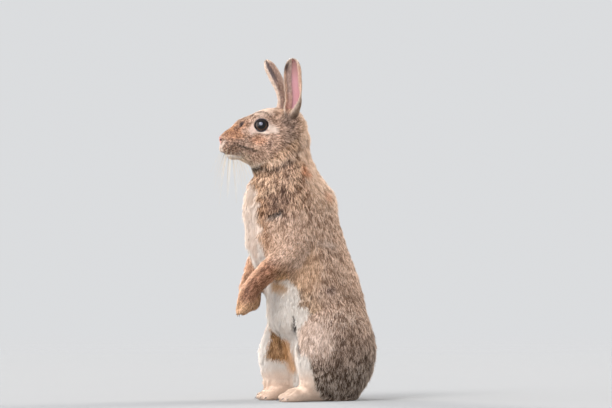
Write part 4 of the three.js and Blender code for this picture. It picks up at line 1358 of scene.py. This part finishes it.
@dataclass
class Ear:
    """One ear: a leaf rolled into a cup, nearly closed at the root. Millimetres and degrees."""

    stance: Stance
    markings: Markings
    side: str
    width: float = 10.6
    thick: float = 1.5
    rim: float = 0.7
    inset: float = 0.55  # from the solid's outer face to the skin's
    root_share: float = 0.62
    taper_from: float = 0.45
    taper_power: float = 6.5
    roll_behind: Pair = (176.0, 60.0)
    roll_front: Pair = (150.0, 60.0)
    opens_behind: Pair = (0.16, 0.76)  # where along it the rim behind unrolls
    opens_front: Pair = (0.04, 0.46)
    rows: int = 64
    columns: int = 32

    def open_to(self) -> Array:
        """The way the cup opens."""
        ahead, left = self.stance.skull.ahead, self.stance.skull.left
        return unit(left + ahead * 0.35) if self.side == "left" else unit(-left + ahead * 0.9)

    def along(self, t: Array) -> tuple[Array, Array]:
        """Places on the axis and its directions, where t runs from 0 at the root to 1 at the tip."""
        knots = np.array(self.stance.ear(SIDES[self.side]))
        knots = np.concatenate([[2 * knots[0] - knots[1]], knots, [2 * knots[-1] - knots[-2]]])
        spans = len(knots) - 3
        k = np.minimum((t * spans).astype(int), spans - 1)
        u = (t * spans - k)[:, None]
        a, b, c, d = (knots[k + i] for i in range(4))
        first, second, third = (c - a) / 2, a - 2.5 * b + 2 * c - d / 2, (3 * b - a - 3 * c + d) / 2
        at = b + first * u + second * u ** 2 + third * u ** 3
        return at, unit(first + 2 * second * u + 3 * third * u ** 2)

    def surface(self, t: Array, share: Array, inward: float) -> Array:
        """Points of the leaf.

        Args:
            t: From 0 at the root to 1 at the tip.
            share: Across it, from -1 at one rim to 1 at the other.
            inward: 0 on the outer face, 1 on the inner one.
        """
        at, way = self.along(t)
        out = unit(self.open_to() - way * (way @ self.open_to())[:, None])
        side = np.cross(way, out)
        taper = np.maximum(t - self.taper_from, 0) / (1 - self.taper_from)
        spread = self.root_share + (1 - self.root_share) * ramp(t, 0, self.taper_from)
        width = self.width * spread * np.sqrt(np.maximum(1 - taper ** self.taper_power, 0.004))
        behind = mixed(*self.roll_behind, ramp(t, *self.opens_behind))[..., 0]
        front = mixed(*self.roll_front, ramp(t, *self.opens_front))[..., 0]
        roll = np.radians(np.where(share * self.front_sign() > 0, front, behind))
        radius = width / np.sin(np.minimum(np.radians((front + behind) / 2), math.pi / 2))
        sink = np.minimum(radius, width) * 0.45 + (radius - width) * 0.8
        edge = np.clip(np.maximum(t, share * share), 0, 1)
        thick = self.thick + (self.rim - self.thick) * edge
        ripple = 0.35 * np.sin(share * 9 + t * 4) * inward * (1 - share ** 2) * ramp(t, 0.1, 0.4)
        r = radius - self.inset * (1 - edge * 0.5) - inward * thick + ripple
        outwards, sideways = sink - r * np.cos(share * roll), r * np.sin(share * roll)
        return at + (out * outwards[:, None] + side * sideways[:, None]) * MM

    def build(self) -> tuple[Piece, Pelt]:
        """Makes the ear.

        Returns:
            The ear as a dressed piece, and its surface with all that its short coat needs.
        """
        deselect()
        bpy.ops.mesh.primitive_grid_add(x_subdivisions=self.columns, y_subdivisions=self.rows, size=2)
        sheet = bpy.context.object
        grid, triangles = points_of(sheet), triangles_of(sheet)
        bpy.data.objects.remove(sheet)
        count = len(grid)
        share, t = grid[:, 0], 1 - (0.5 - grid[:, 1] / 2) ** 1.35
        points = np.concatenate([self.surface(t, share, 0.0), self.surface(t, share, 1.0)])
        edge = self.border(grid)
        after = np.roll(edge, -1)
        walls = np.array([(edge, after, after + count), (edge, after + count, edge + count)])
        walls = walls.transpose(0, 2, 1).reshape(-1, 3)
        faces = np.concatenate([triangles, triangles[:, ::-1] + count, walls])
        if self.faces_in(points, triangles):
            faces = faces[:, ::-1]
        piece = from_arrays(f"ear_skin_{self.side}", points, faces)
        t2, share2 = np.tile(t, 2), np.tile(share, 2)
        inside = np.repeat([0.0, 1.0], count)
        pelt = self.pelt(points, faces, t2, share2, inside)
        ahead = share2 * self.front_sign()
        rim = np.where(ahead > 0, ramp(ahead, 0.14, 0.40), ramp(-ahead, 0.42, 0.66))
        pink = mixed(tone(Markings.EAR_PINK), tone("b98488"), ramp(np.abs(ahead + 0.15), 0.40, 0.05))
        pink = mixed(pink, tone("94695f"), ramp(t2, 0.68, 0.92) * 0.8)
        dress(piece, EAR, mixed(pelt.colour * 0.8, pink, inside * (1 - rim)))
        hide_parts(f"ear_{self.side}")
        return piece, pelt

    def border(self, grid: Array) -> Array:
        """The vertex numbers round the edge of the square grid, in order."""
        numbers = np.nonzero(np.abs(grid[:, :2]).max(axis=1) > 1 - 1e-6)[0]
        return numbers[np.argsort(-np.arctan2(grid[numbers, 1], grid[numbers, 0]))]

    def faces_in(self, points: Array, triangles: Array) -> bool:
        """Whether the outer leaf's triangles face into the cup."""
        a, b, c = (points[triangles[:, i]] for i in range(3))
        return float((np.cross(b - a, c - a) @ self.open_to()).sum()) > 0

    def pelt(self, points: Array, faces: Array, t: Array, share: Array, inside: Array) -> Pelt:
        """What the ear's coat needs to grow: dense outside, long over the rims, sparse in the cup."""
        normals = normals_at(points, faces)
        _, way = self.along(t)
        nearer = self.surface(t, share * 0.96, 1.0) - self.surface(t, share, 1.0)
        ahead = share * self.front_sign()
        rim = np.where(ahead > 0, ramp(ahead, 0.12, 0.42), ramp(-ahead, 0.46, 0.70))
        edge = ramp(np.abs(share), 0.78, 0.97)
        flow = unit(way - unit(nearer) * (np.abs(share) * 0.25 * (1 - inside))[:, None])
        flow = unit(flow + unit(nearer) * (inside * rim * 0.75)[:, None])
        flow = unit(flow - normals * (flow * normals).sum(1, keepdims=True))
        foot = ramp(t, 0.26, 0.10)
        length = np.where(inside > 0, 1.6 + 1.9 * rim, 3.2 - 1.0 * t) + 1.6 * foot
        length = length * (1 - 0.45 * ramp(t, 0.88, 0.98))
        density = np.where(inside > 0, 0.25 + 3.6 * rim, 3.4)
        density = np.where(t < 0.02, 0.0, density)
        wobble = self.markings.wide.at(points, 5 * MM) - 0.5
        across, inner_ahead = np.abs(share) + wobble * 0.12, ahead + wobble * 0.12
        rows = (points, normals, wobble, np.zeros_like(points), np.zeros(len(points)))
        back, cup = Stretch(*rows), Stretch(*rows)
        back.start(Markings.EAR_BACK)
        back.lay("806557", ramp(ahead, 0.2, 0.45) * 0.6)
        back.lay("8c7560", ramp(ahead, -0.30, -0.50) * 0.8)
        before = ramp(np.abs(share), 0.66, 0.80) * (ahead > 0)
        back.lay(Markings.EAR_RIM, np.maximum(edge * 0.9, before * 0.9))
        flap = mixed(tone("dcb0a2"), tone("c6a79b"), ramp(t + wobble * 0.1, 0.36, 0.55))
        hairy = np.where(ahead > 0, ramp(inner_ahead, 0.10, 0.30), ramp(across, 0.44, 0.58))
        hair = np.where(ahead[:, None] > 0, flap, tone("c6a394"))
        cup.colour = mixed(tone(Markings.EAR_PINK), hair, hairy)
        cup.lay("c79f86", ramp(across, 0.84, 0.95))
        cup.lay(Markings.EAR_RIM, ramp(t + wobble * 0.06, 0.86, 0.97) * 0.9)
        back.colour = mixed(back.colour, cup.colour, inside)
        back.lay(Markings.EAR_RIM, ramp(t, 0.93, 0.99) * 0.85)
        if self.side == "left":
            dark = ramp(ahead, 0.60, 0.76) * ramp(t + wobble * 0.06, 0.78, 0.84) * ramp(t, 0.97, 0.91)
        else:
            dark = band(ahead, 0.22, 0.40, 0.64, 0.78) * ramp(t + wobble * 0.1, 0.62, 0.82)
        back.lay(Markings.EAR_EDGE, dark * 0.8)
        back.lay(Markings.EAR_ROOT, foot * (1 - inside * ramp(np.abs(share), 0.6, 0.4)) * 0.8)
        even = np.ones(len(points))
        lift = np.where(inside > 0, 14.0, 11.0) + 8 * edge + 6 * foot
        ticking = 0.15 + 0.2 * rim + 0.35 * (1 - inside) * (1 - edge)
        places = np.full(len(points), Place[f"EAR_{self.side.upper()}"].value)
        return Pelt(points, faces, normals, places, flow, length * MM, 0.36 * MM * even, density, lift,
                    back.colour, ticking, 0 * even)

    def front_sign(self) -> int:
        """1 where share 1 is the rim that lies ahead, else -1."""
        _, way = self.along(np.array([0.6]))
        side = np.cross(way[0], self.open_to())
        return 1 if float(side @ self.stance.skull.ahead) > 0 else -1


# --- coat


@dataclass(frozen=True)
class Bunch:
    """A share of the tufts that makes one or more pieces."""

    name: str  # the start of the pieces' names
    slot: str  # a name for the finish
    place: Place  # where its tufts grow
    axis: tuple[Array, Array]  # two points of the line that its map is rolled round
    side: int = 0  # 1 or -1 for tufts on the left or right of the head or trunk alone, else 0


@dataclass
class Coat:
    """The coat: tufts, each a thin closed blade of six triangles, laid along the skin's flow."""

    stance: Stance
    markings: Markings
    most: int = 32500  # tufts in a piece
    total: int = 240000  # tufts in all
    sunk: float = 0.5 * MM
    thickness: float = 0.40  # share of a tuft's width
    tilt: float = 0.36  # how round a tuft is shaded
    lock: float = 5.2 * MM  # distance between the locks that tufts gather in
    patch: float = 0.003  # size of a tuft on its map
    seed: int = 17
    quick_share: float = 0.35
    carried: tuple[str, ...] = (
        "points", "normals", "flow", "length", "width", "lift", "colour", "ticking", "fold")

    def sow(self, pelts: list[Pelt]) -> dict[str, Array]:
        """Chooses the roots of all tufts, spread evenly at each place's own density.

        Args:
            pelts: The surfaces that grow a coat.

        Returns:
            Arrays with one row for each tuft, by the names that the fields of Pelt have.
        """
        dice = np.random.default_rng(self.seed)
        sown: dict[str, list[Array]] = {}
        wanted = [self.expected(pelt) for pelt in pelts]
        scale = min(1.0, self.total / sum(w.sum() for w in wanted))
        for pelt, expected in zip(pelts, wanted):
            line = np.cumsum(expected * scale)
            marks = np.arange(0, int(line[-1])) + dice.random(int(line[-1]))
            chosen = np.minimum(np.searchsorted(line, marks), len(expected) - 1)
            a, b = np.sqrt(dice.random(len(chosen))), dice.random(len(chosen))
            shares = np.stack([1 - a, a * (1 - b), a * b], axis=1)
            corners = pelt.triangles[chosen]
            for name in self.carried:
                values = getattr(pelt, name)[corners]
                weights = shares if values.ndim == 2 else shares[..., None]
                sown.setdefault(name, []).append((values * weights).sum(axis=1))
            sown.setdefault("places", []).append(pelt.places[corners[:, 0]])
        return {name: np.concatenate(parts) for name, parts in sown.items()}

    def expected(self, pelt: Pelt) -> Array:
        """How many tufts each triangle should carry."""
        a, b, c = (pelt.points[pelt.triangles[:, i]] for i in range(3))
        area = lengths(np.cross(b - a, c - a)) / 2 / MM ** 2
        density = pelt.density[pelt.triangles]
        return area * np.where(density.min(axis=1) > 0, density.mean(axis=1), 0)

    def blades(self, sown: dict[str, Array]) -> tuple[Array, Array, Array]:
        """Shapes the tufts: each starts in a point under the skin, widens to its middle and ends in a point.

        Args:
            sown: What sow returns.

        Returns:
            Points, shading directions and colours, each with five rows for each tuft.
        """
        dice = np.random.default_rng(self.seed + 1)
        roots, normals = sown["points"], unit(sown["normals"])
        count = len(roots)
        locks = [Grain(s).at(roots, 4.5 * MM) - 0.5 for s in (11, 12)]
        waves = Grain(14).at(roots, 17 * MM) - 0.5
        flow = unit(sown["flow"] - normals * (sown["flow"] * normals).sum(1, keepdims=True))
        across = np.cross(flow, normals)
        ridge = Grain(15)
        ahead = roots + flow * (sown["length"] * 0.6)[:, None]
        pull = ridge.at(ahead + across * 1.2 * MM, self.lock) - ridge.at(ahead - across * 1.2 * MM, self.lock)
        calm = np.clip(sown["length"] / (8 * MM), 0.45, 1)
        swing = np.radians(dice.normal(0, 12, count) + (pull * 62 + waves * 22) * calm)[:, None]
        way = flow * np.cos(swing) + across * np.sin(swing)
        across = np.cross(way, normals)
        length = sown["length"] * (0.74 + 0.5 * dice.random(count)) * (1 + 0.35 * locks[0])
        lift = np.radians(np.clip(sown["lift"] + dice.normal(0, 4, count) + locks[1] * 14, 3, 60))
        width = sown["width"] * (0.75 + 0.5 * dice.random(count))
        bend = dice.normal(0, 0.05, count) + locks[0] * 0.10
        base = roots - normals * np.minimum(self.sunk, 0.1 * length)[:, None]
        rise, reach = normals * (np.sin(lift) * length)[:, None], way * (np.cos(lift) * length)[:, None]
        sway = across * (bend * length)[:, None]
        middle = base + reach * 0.46 + rise * 0.62 + sway * 0.4
        tip = base + reach + rise * 0.85 + sway * 1.5
        half, thick = across * (width / 2)[:, None], normals * (width * self.thickness)[:, None]
        points = np.stack([base, middle + half, middle - half, middle + thick, tip], axis=1)
        points[..., 2] = np.maximum(points[..., 2], 0.35 * MM)
        tilt = across * self.tilt
        shading = np.stack([normals, normals + tilt, normals - tilt, normals, normals + way * 0.25], axis=1)
        root, mid, end = self.markings.hairs(sown, dice.random(count))
        return points, unit(shading), np.stack([root, mid, mid, mid, end], axis=1)

    @staticmethod
    def triangles(count: int) -> Array:
        """The triangles of count tufts."""
        one = []
        for a, b in ((3, 1), (1, 2), (2, 3)):
            one += [(a, b, 4), (b, a, 0)]
        return (np.array(one)[None] + 5 * np.arange(count)[:, None, None]).reshape(-1, 3)

    def map_of(self, roots: Array, axis: tuple[Array, Array]) -> Array:
        """The place of each tuft on its bunch's map: round an axis, and along it.

        Args:
            roots: Where the tufts grow.
            axis: Two points of the line that the map is rolled round.
        """
        start, end = axis
        way = unit(end - start)
        aside = unit(np.cross(way, np.array([0.13, 0.97, 0.21])))
        third = np.cross(way, aside)
        away = roots - start
        turned = np.arctan2(away @ third, away @ aside)
        middle = np.arctan2(np.sin(turned).mean(), np.cos(turned).mean())
        turned = (turned - middle + math.pi) % (2 * math.pi)
        placed = np.stack([turned, away @ way], axis=1)
        low, high = np.percentile(placed, 0.2, axis=0), np.percentile(placed, 99.8, axis=0)
        return np.clip((placed - low) / (high - low), 0, 1) * 0.97 + 0.012

    def bunches(self) -> list[Bunch]:
        """The pieces that the coat is split into."""
        stance = self.stance
        head = (stance.in_head(50, 0, -10), stance.in_head(-25, 0, 0))
        trunk = (stance.hips.place(-6, 0, 20), stance.skull.place(-8, 0, 290))
        made = [Bunch("coat_neck", "coat_rust", Place.NECK, trunk)]
        for side, sign in SIDES.items():
            leg, foot, ear = stance.foreleg(sign), stance.foot(sign), stance.ear(sign)
            thigh = (stance.hips.place(5, sign * 24, 0), stance.hips.place(5, sign * 24, 110))
            end = f"_{side.upper()}"
            rows = (
                ("head", "coat", "HEAD", head, sign),
                ("trunk", "coat", "TORSO", trunk, sign),
                ("foreleg", "coat_rust", "FORELEG" + end, (leg[0], leg[3])),
                ("forepaw", "coat_rust", "FOREPAW" + end, (leg[2], leg[4])),
                ("haunch", "coat", "HINDLEG" + end, thigh),
                ("hindfoot", "coat_pale", "HINDFOOT" + end, (foot[0], foot[3])),
                ("ear", "coat", "EAR" + end, (ear[0], ear[3])),
            )
            made += [Bunch(f"coat_{row[0]}_{side}", row[1], Place[row[2]], *row[3:]) for row in rows]
        tail = stance.tail()
        return [*made, Bunch("coat_tail", "coat_pale", Place.TAIL, (tail[0], tail[3]))]

    def build(self, pelts: list[Pelt]) -> list[Piece]:
        """Grows the coat on the given surfaces."""
        sown = self.sow(pelts)
        roots, blades = sown["points"], self.blades(sown)
        turned, beside = self.stance.round_body(roots), self.stance.head_local(roots)[:, 1]
        pieces = []
        for bunch in self.bunches():
            mine = sown["places"] == bunch.place.value
            if bunch.side:
                signed = beside if bunch.place == Place.HEAD else turned
                mine &= np.sign(np.where(signed == 0, 1, signed)) == bunch.side
            numbers = np.nonzero(mine)[0]
            numbers = numbers[np.argsort(roots[numbers, 2], kind="stable")]
            parts = math.ceil(len(numbers) / self.most)
            for index, chosen in enumerate(np.array_split(numbers, parts)):
                name = bunch.name if parts == 1 else f"{bunch.name}_{index + 1}"
                rows = [part[chosen].reshape(-1, 3) for part in blades]
                pieces.append(self.piece(name, bunch, rows, roots[chosen]))
        return pieces

    def piece(self, name: str, bunch: Bunch, rows: list[Array], roots: Array) -> Piece:
        """One piece of coat.

        Args:
            name: The piece's name.
            bunch: The bunch that it belongs to.
            rows: Points, shading directions and colours, five for each of its tufts.
            roots: Where each tuft grows.
        """
        points, shading, colours = rows
        triangles = self.triangles(len(roots))
        made = dress(from_arrays(name, points, triangles), FUR, colours)
        spots = self.map_of(roots, bunch.axis)
        within = np.array([(0.5, 0), (1, 0.5), (0, 0.5), (0.5, 0.55), (0.5, 1)]) * self.patch
        flat = (spots[:, None] + within).reshape(-1, 2)
        layer = made.data.uv_layers.new(name="OFBake", do_init=False)
        layer.uv.foreach_set("vector", flat[triangles.ravel()].astype(np.float32).ravel())
        made.data.normals_split_custom_set_from_vertices(shading.tolist())
        return made


# --- eyes


@dataclass
class Eye:
    """One eye with its lids. Millimetres."""

    stance: Stance
    side: str
    pupil: float = 4.6
    iris: float = 7.5
    bulge: float = 0.5
    lid_radius: float = 7.6
    lid_thick: float = 0.6

    def turn(self) -> Matrix:
        """From the eye's own axes, with Z along the gaze and Y up, to its place."""
        gaze = Vector(self.stance.gaze(SIDES[self.side]))
        across = Vector((0, 0, 1)).cross(gaze).normalized()
        up = gaze.cross(across)
        axes = Matrix((across, up, gaze)).transposed().to_4x4()
        return Matrix.Translation(Vector(self.stance.eye_place(SIDES[self.side]))) @ axes

    def globe(self) -> Piece:
        """The eyeball: brown iris with painted shade over its upper half, black pupil, and a clear swell over
        both.
        """
        deselect()
        radius = self.stance.eye_radius * MM
        bpy.ops.mesh.primitive_uv_sphere_add(segments=96, ring_count=64, radius=radius)
        ball = bpy.context.object
        ball.name = f"eyeball_{self.side}"
        own = points_of(ball)
        out = np.hypot(own[:, 0], own[:, 1]) / MM
        front = own[:, 2] > 0
        own[:, 2] += np.where(front, ramp(out, self.iris, 0) * self.bulge * MM, 0)
        angle = np.arctan2(own[:, 1], own[:, 0])
        streaks = 0.5 + 0.5 * np.sin(angle * 37 + 3 * np.sin(angle * 11))
        streaks = streaks * ramp(out, self.pupil, self.pupil + 1.2)
        brown = mixed(tone("2e1b10"), tone("5c3e28"), streaks * 0.85)
        # painted shade over the upper half of the iris
        brown = mixed(brown, tone("150c08"), ramp(own[:, 1] / MM, -1.5, 3.0) * 0.85)
        brown = mixed(brown, tone("0e0705"), ramp(out, self.iris - 1.8, self.iris - 0.4))
        colour = mixed(brown, tone("040304"), ramp(out, self.pupil + 0.7, self.pupil - 0.4))
        colour = np.where(front[:, None], colour, tone("2a1c17"))
        move_points(ball, own)
        ball.data.transform(self.turn())
        dress(ball, EYE, colour)
        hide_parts(f"eye_{self.side}")
        return ball

    def lids(self) -> Piece:
        """The dark bare edge of the lids, drawn out to a corner in front and behind."""
        deselect()
        bpy.ops.mesh.primitive_torus_add(
            major_radius=self.lid_radius * MM, minor_radius=self.lid_thick * MM, major_segments=72,
            minor_segments=12)
        ring = bpy.context.object
        ring.name = f"lids_{self.side}"
        own = points_of(ring)
        sign = SIDES[self.side]
        angle = np.arctan2(own[:, 1], own[:, 0] * -sign)
        front = np.exp(-(((angle + 0.25) / 0.28) ** 2))
        turned = (angle + 0.15) % (2 * math.pi) - math.pi
        behind = np.exp(-((turned / 0.3) ** 2))
        stretch = 1 + 0.18 * front + 0.10 * behind
        own[:, 0] *= 1.10 * stretch
        own[:, 1] *= 0.98 * stretch
        out = np.hypot(own[:, 0], own[:, 1])
        ball = self.stance.eye_radius * MM
        own[:, 2] += np.sqrt(np.maximum(ball ** 2 - np.minimum(out, ball * 0.93) ** 2, 0)) + 0.1 * MM
        move_points(ring, own)
        ring.data.transform(self.turn())
        outer = ramp(out / MM, self.lid_radius, self.lid_radius + 1.2)
        return dress(ring, LID, mixed(tone("1d1411"), tone("3c2a23"), outer))

    def build(self) -> list[Piece]:
        """Makes the eye and its lids."""
        return [self.globe(), self.lids()]


# --- claws and whiskers


@dataclass
class Claws:
    """The four claws of one foot. Millimetres."""

    stance: Stance
    fore: bool
    side: str
    radius: float = 1.2
    length: float = 8.5
    curve: float = 2.4

    def tips(self) -> list[tuple[Array, Array]]:
        """Where each claw starts and the way it points."""
        stance, sign = self.stance, SIDES[self.side]
        found = []
        for place in (-1.5, -0.5, 0.5, 1.5):
            if self.fore:
                chest = stance.chest
                reach = 13.2 - abs(place) * 2
                root = stance.foreleg(sign)[-1] + chest.left * place * stance.fore_toe * MM
                root = root + unit(chest.ahead * 0.62 - UP * 0.82) * reach * MM
                found.append((root, unit(chest.ahead * 0.5 - UP * 0.87)))
            else:
                ahead = stance.heel(sign) + stance.foot_length * (0.95 - abs(place) * 0.03) + 3.6
                root = stance.hips.place(ahead, sign * stance.foot_aside + place * stance.hind_toe, 4.3)
                found.append((root, unit(stance.hips.ahead - UP * 0.28)))
        return found

    def one(self, root: Array, way: Array) -> Piece:
        """One claw: a cone bent down towards its point.

        Args:
            root: Where it starts.
            way: The way it points.
        """
        deselect()
        bpy.ops.mesh.primitive_cone_add(
            vertices=12, radius1=self.radius * MM, radius2=0.12 * MM, depth=self.length * MM,
            end_fill_type="NGON")
        claw = activate(bpy.context.object)
        mode("EDIT")
        for share in (-0.2, 0.05, 0.25, 0.4):
            bpy.ops.mesh.select_all(action="SELECT")
            bpy.ops.mesh.bisect(plane_co=(0, 0, self.length * share * MM), plane_no=(0, 0, 1))
        mode("OBJECT")
        own = points_of(claw)
        share = own[:, 2] / (self.length * MM) + 0.5
        bent = own[:, 0] * 0.8 - self.curve * MM * share ** 2
        up = unit(UP - way * way[2])
        move_points(claw, root + bent[:, None] * up + own[:, [1]] * np.cross(up, way) + own[:, [2]] * way)
        paint(claw, mixed(tone("5a463c"), tone("2b211d"), ramp(share, 0.3, 0.9)))
        shade_smooth(claw)
        return claw

    def build(self) -> Piece:
        """Makes the claws of the foot as one piece."""
        name = f"claws_{'fore' if self.fore else 'hind'}_{self.side}"
        return dress(joined([self.one(root, way) for root, way in self.tips()], name), HORN)


@dataclass
class Whiskers:
    """The whiskers of one side: long ones from the lip, and a few over the eye. Millimetres."""

    stance: Stance
    skin: Pelt
    side: str
    thick: float = 0.16
    sides: int = 5
    steps: int = 14
    rows: int = 4
    columns: int = 6
    shortest: float = 30.0  # at the ends of a row
    longer: float = 15.0  # by how much in its middle
    seed: int = 41

    def roots(self) -> list[tuple[Array, Array, float, float]]:
        """For each whisker its root, first direction, length and droop."""
        sign = SIDES[self.side]
        skull = self.stance.skull
        dice = np.random.default_rng(self.seed + sign)
        found = []
        for row, column in itertools.product(range(self.rows), range(self.columns)):
            ahead = 53.0 - column * 2.6 + row * 0.4 + dice.normal(0, 0.4)
            up = -11.5 - row * 2.5 - column * 0.35 + dice.normal(0, 0.3)
            way = skull.left * sign * (0.60 - 0.06 * row) + skull.ahead * (0.30 - column * 0.16)
            way = unit(way - UP * (0.45 + 0.14 * row))
            swell = math.sin((column + 0.5) / self.columns * math.pi)
            length = (self.shortest + self.longer * swell) * (0.8 + 0.35 * dice.random())
            root = self.stance.in_head(ahead, sign * 12, up)
            found.append((root, way, length, 0.35 + 0.35 * dice.random()))
        for turn in (-0.05, 0.35):
            way = unit(skull.left * sign * 0.75 - skull.ahead * (turn + 0.1) + UP * 0.55)
            root = self.stance.in_head(16 - turn * 10, sign * 16, 22.5)
            found.append((root, way, 17 + 6 * dice.random(), 0.3))
        return found

    def build(self) -> Piece:
        """Makes the whiskers of the side as one piece of bent, tapering hairs."""
        tree = BVHTree.FromPolygons(self.skin.points.tolist(), self.skin.triangles.tolist())
        hairs = []
        for root, way, length, droop in self.roots():
            start = np.array(tree.find_nearest(Vector(root))[0]) - way * 0.8 * MM
            hairs.append(self.hair(start, way, length * MM, droop))
        faces = self.faces()
        count = len(hairs[0])
        numbers = np.concatenate([faces + count * i for i in range(len(hairs))])
        made = from_arrays(f"whiskers_{self.side}", np.concatenate(hairs), numbers)
        share = np.append(np.repeat(np.arange(self.steps) / self.steps, self.sides), [0.0, 1.0])
        colours = mixed(tone("6f5644"), tone("e0caa6"), ramp(np.tile(share, len(hairs)), 0.08, 0.42))
        return dress(made, WHISKER, colours)

    def hair(self, start: Array, way: Array, length: float, droop: float) -> Array:
        """The points of one whisker that bends down under its own weight: its rings, root and tip.

        Args:
            start: Its root.
            way: The way it leaves the skin.
            length: Its length.
            droop: How far it bends down, as a share of its length.
        """
        t = np.linspace(0, 1, self.steps)
        line = start + way * (t * length)[:, None]
        line[:, 2] -= droop * length * t ** 2 * 0.8
        steps = unit(np.gradient(line, axis=0))
        side = unit(np.cross(steps, np.array([0.3, 0.2, 0.9])))
        over = np.cross(steps, side)
        radius = self.thick * MM * (1 - 0.85 * t)
        angles = np.linspace(0, 2 * math.pi, self.sides, endpoint=False)[:, None]
        out = side[:, None] * np.cos(angles) + over[:, None] * np.sin(angles)
        rings = line[:, None] + radius[:, None, None] * out
        ends = [line[0] - way * 0.1 * MM, line[-1] + steps[-1] * 0.5 * MM]
        return np.concatenate([rings.reshape(-1, 3), ends])

    def faces(self) -> Array:
        """The triangles of one whisker."""
        n, last = self.sides, self.steps * self.sides
        found = []
        for j in range(n):
            k = (j + 1) % n
            for i in range(0, last - n, n):
                found += [(i + j, i + k, i + k + n), (i + j, i + k + n, i + j + n)]
            found += [(last, k, j), (last - n + j, last - n + k, last + 1)]
        return np.array(found)


# --- studio


AIM = Vector((0, 0, 0.2))  # the middle of the chest, which the lights point at


def place_lamp(data: bpy.types.Light, at: Vector) -> Piece:
    """Puts a light where it stands, turned to the rabbit's chest, and returns it."""
    lamp = linked(data.name, data)
    lamp.location = at
    lamp.rotation_euler = (AIM - at).to_track_quat("-Z", "Y").to_euler()
    return lamp


@dataclass(frozen=True)
class Sun:
    """A broad soft light from far away, which lights the floor evenly."""

    name: str  # its name
    turn: float  # degrees round from the camera, positive to the rabbit's back
    height: float  # degrees over the floor
    power: float  # watts on a square metre
    spread: float  # degrees across
    colour: Triple  # its linear colour

    def build(self) -> None:
        """Makes the light."""
        data = bpy.data.lights.new(self.name, "SUN")
        data.energy = self.power
        data.angle = math.radians(self.spread)
        data.color = self.colour
        turn, height = math.radians(self.turn), math.radians(self.height)
        way = (math.sin(turn) * math.cos(height), -math.cos(turn) * math.cos(height), math.sin(height))
        place_lamp(data, AIM + Vector(way) * 3)


@dataclass
class Studio:
    """Floor, lights and camera. Metres, and degrees and watts for the lights."""

    lens: float = 300.0  # millimetres
    sensor: float = 36.0
    distance: float = 5.866
    middle_x: float = 0.0093
    middle_z: float = 0.2254
    sky: float = 0.72  # brightness of the surroundings
    floor_radius: float = 5.0
    clear: Pair = (0.9, 3.2)  # distances between which the floor fades into the surroundings
    window_size: float = 3.2
    window_power: float = 330.0
    window_at: Triple = (-0.55, -2.25, 1.75)
    suns: tuple[Sun, ...] = (
        Sun("key", -38, 46, 1.9, 22, (1.0, 0.965, 0.92)),
        Sun("front", -30, 3, 0.9, 100, (1.0, 0.96, 0.92)),
        Sun("fill", -72, 11, 1.9, 70, (0.92, 0.95, 1.0)),
        Sun("rim_front", -140, 24, 2.2, 24, (1.0, 0.93, 0.85)),
        Sun("rim_back", 125, 30, 2.4, 24, (1.0, 0.92, 0.84)),
    )

    def floor(self) -> Piece:
        """A wide pale floor, as bright in the light as the surroundings, into which it fades far off."""
        deselect()
        bpy.ops.mesh.primitive_circle_add(vertices=96, radius=self.floor_radius, fill_type="NGON")
        floor = bpy.context.object
        floor.name = "floor"
        lit = sum(sun.power * math.sin(math.radians(sun.height)) for sun in self.suns)
        shade = self.sky / (self.sky + lit / math.pi) * np.array([0.97, 1.0, 1.04])
        paint(floor, np.tile(shade, (len(floor.data.vertices), 1)))
        made = Finish("floor", roughness=0.9, grain=0.05, change=0.01, specular=0.0).material()
        self.fade(made)
        floor.data.materials.append(made)
        return floor

    def fade(self, made: bpy.types.Material) -> None:
        """Makes the floor's material clear far from the rabbit."""
        nodes = made.node_tree.nodes
        where = nodes.new("ShaderNodeTexCoord")
        reach = nodes.new("ShaderNodeVectorMath")
        reach.operation = "LENGTH"
        start, end = self.clear
        share = with_inputs(nodes.new("ShaderNodeMapRange"), {"From Min": start, "From Max": end})
        share.interpolation_type = "SMOOTHSTEP"
        clear = nodes.new("ShaderNodeBsdfTransparent")
        mix = nodes.new("ShaderNodeMixShader")
        wire(made, (where, "Object", reach, 0), (reach, "Value", share, "Value"),
             (share, "Result", mix, "Fac"), (nodes["Principled BSDF"], "BSDF", mix, 1),
             (clear, "BSDF", mix, 2), (mix, "Shader", nodes["Material Output"], "Surface"))

    def build(self) -> None:
        """Makes the floor, the lights and the camera."""
        self.floor()
        for sun in self.suns:
            sun.build()
        window = bpy.data.lights.new("window", "AREA")
        window.shape = "DISK"
        window.size = self.window_size
        window.energy = self.window_power
        window.color = (0.74, 0.76, 1.0)
        place_lamp(window, Vector(self.window_at)).visible_diffuse = False
        scene = bpy.context.scene
        scene.world = bpy.data.worlds.new("studio")
        scene.world.use_nodes = True
        with_inputs(
            scene.world.node_tree.nodes["Background"], {"Color": (0.985, 1.0, 1.02, 1), "Strength": self.sky})
        scene.view_settings.view_transform = "Standard"
        data = bpy.data.cameras.new("camera")
        data.lens = self.lens
        data.sensor_width = self.sensor
        data.clip_end = 120
        camera = linked("camera", data)
        camera.location = (self.middle_x, -self.distance, self.middle_z)
        camera.rotation_euler = (math.pi / 2, 0, 0)
        scene.camera = camera


# --- the rabbit


def main() -> None:
    """Builds the rabbit and its studio."""
    logging.basicConfig(level=logging.INFO, format="%(name)s %(relativeCreated)d %(message)s")
    stance = Stance()
    markings = Markings(stance)
    _, hide = Skin(stance, markings).build()
    pelts = [hide]
    for side in SIDES:
        _, pelt = Ear(stance, markings, side).build()
        pelts.append(pelt)
        Eye(stance, side).build()
        for fore in (True, False):
            Claws(stance, fore, side).build()
        Whiskers(stance, hide, side).build()
    Coat(stance, markings).build(pelts)
    Studio().build()


if __name__ == "__main__":
    main()
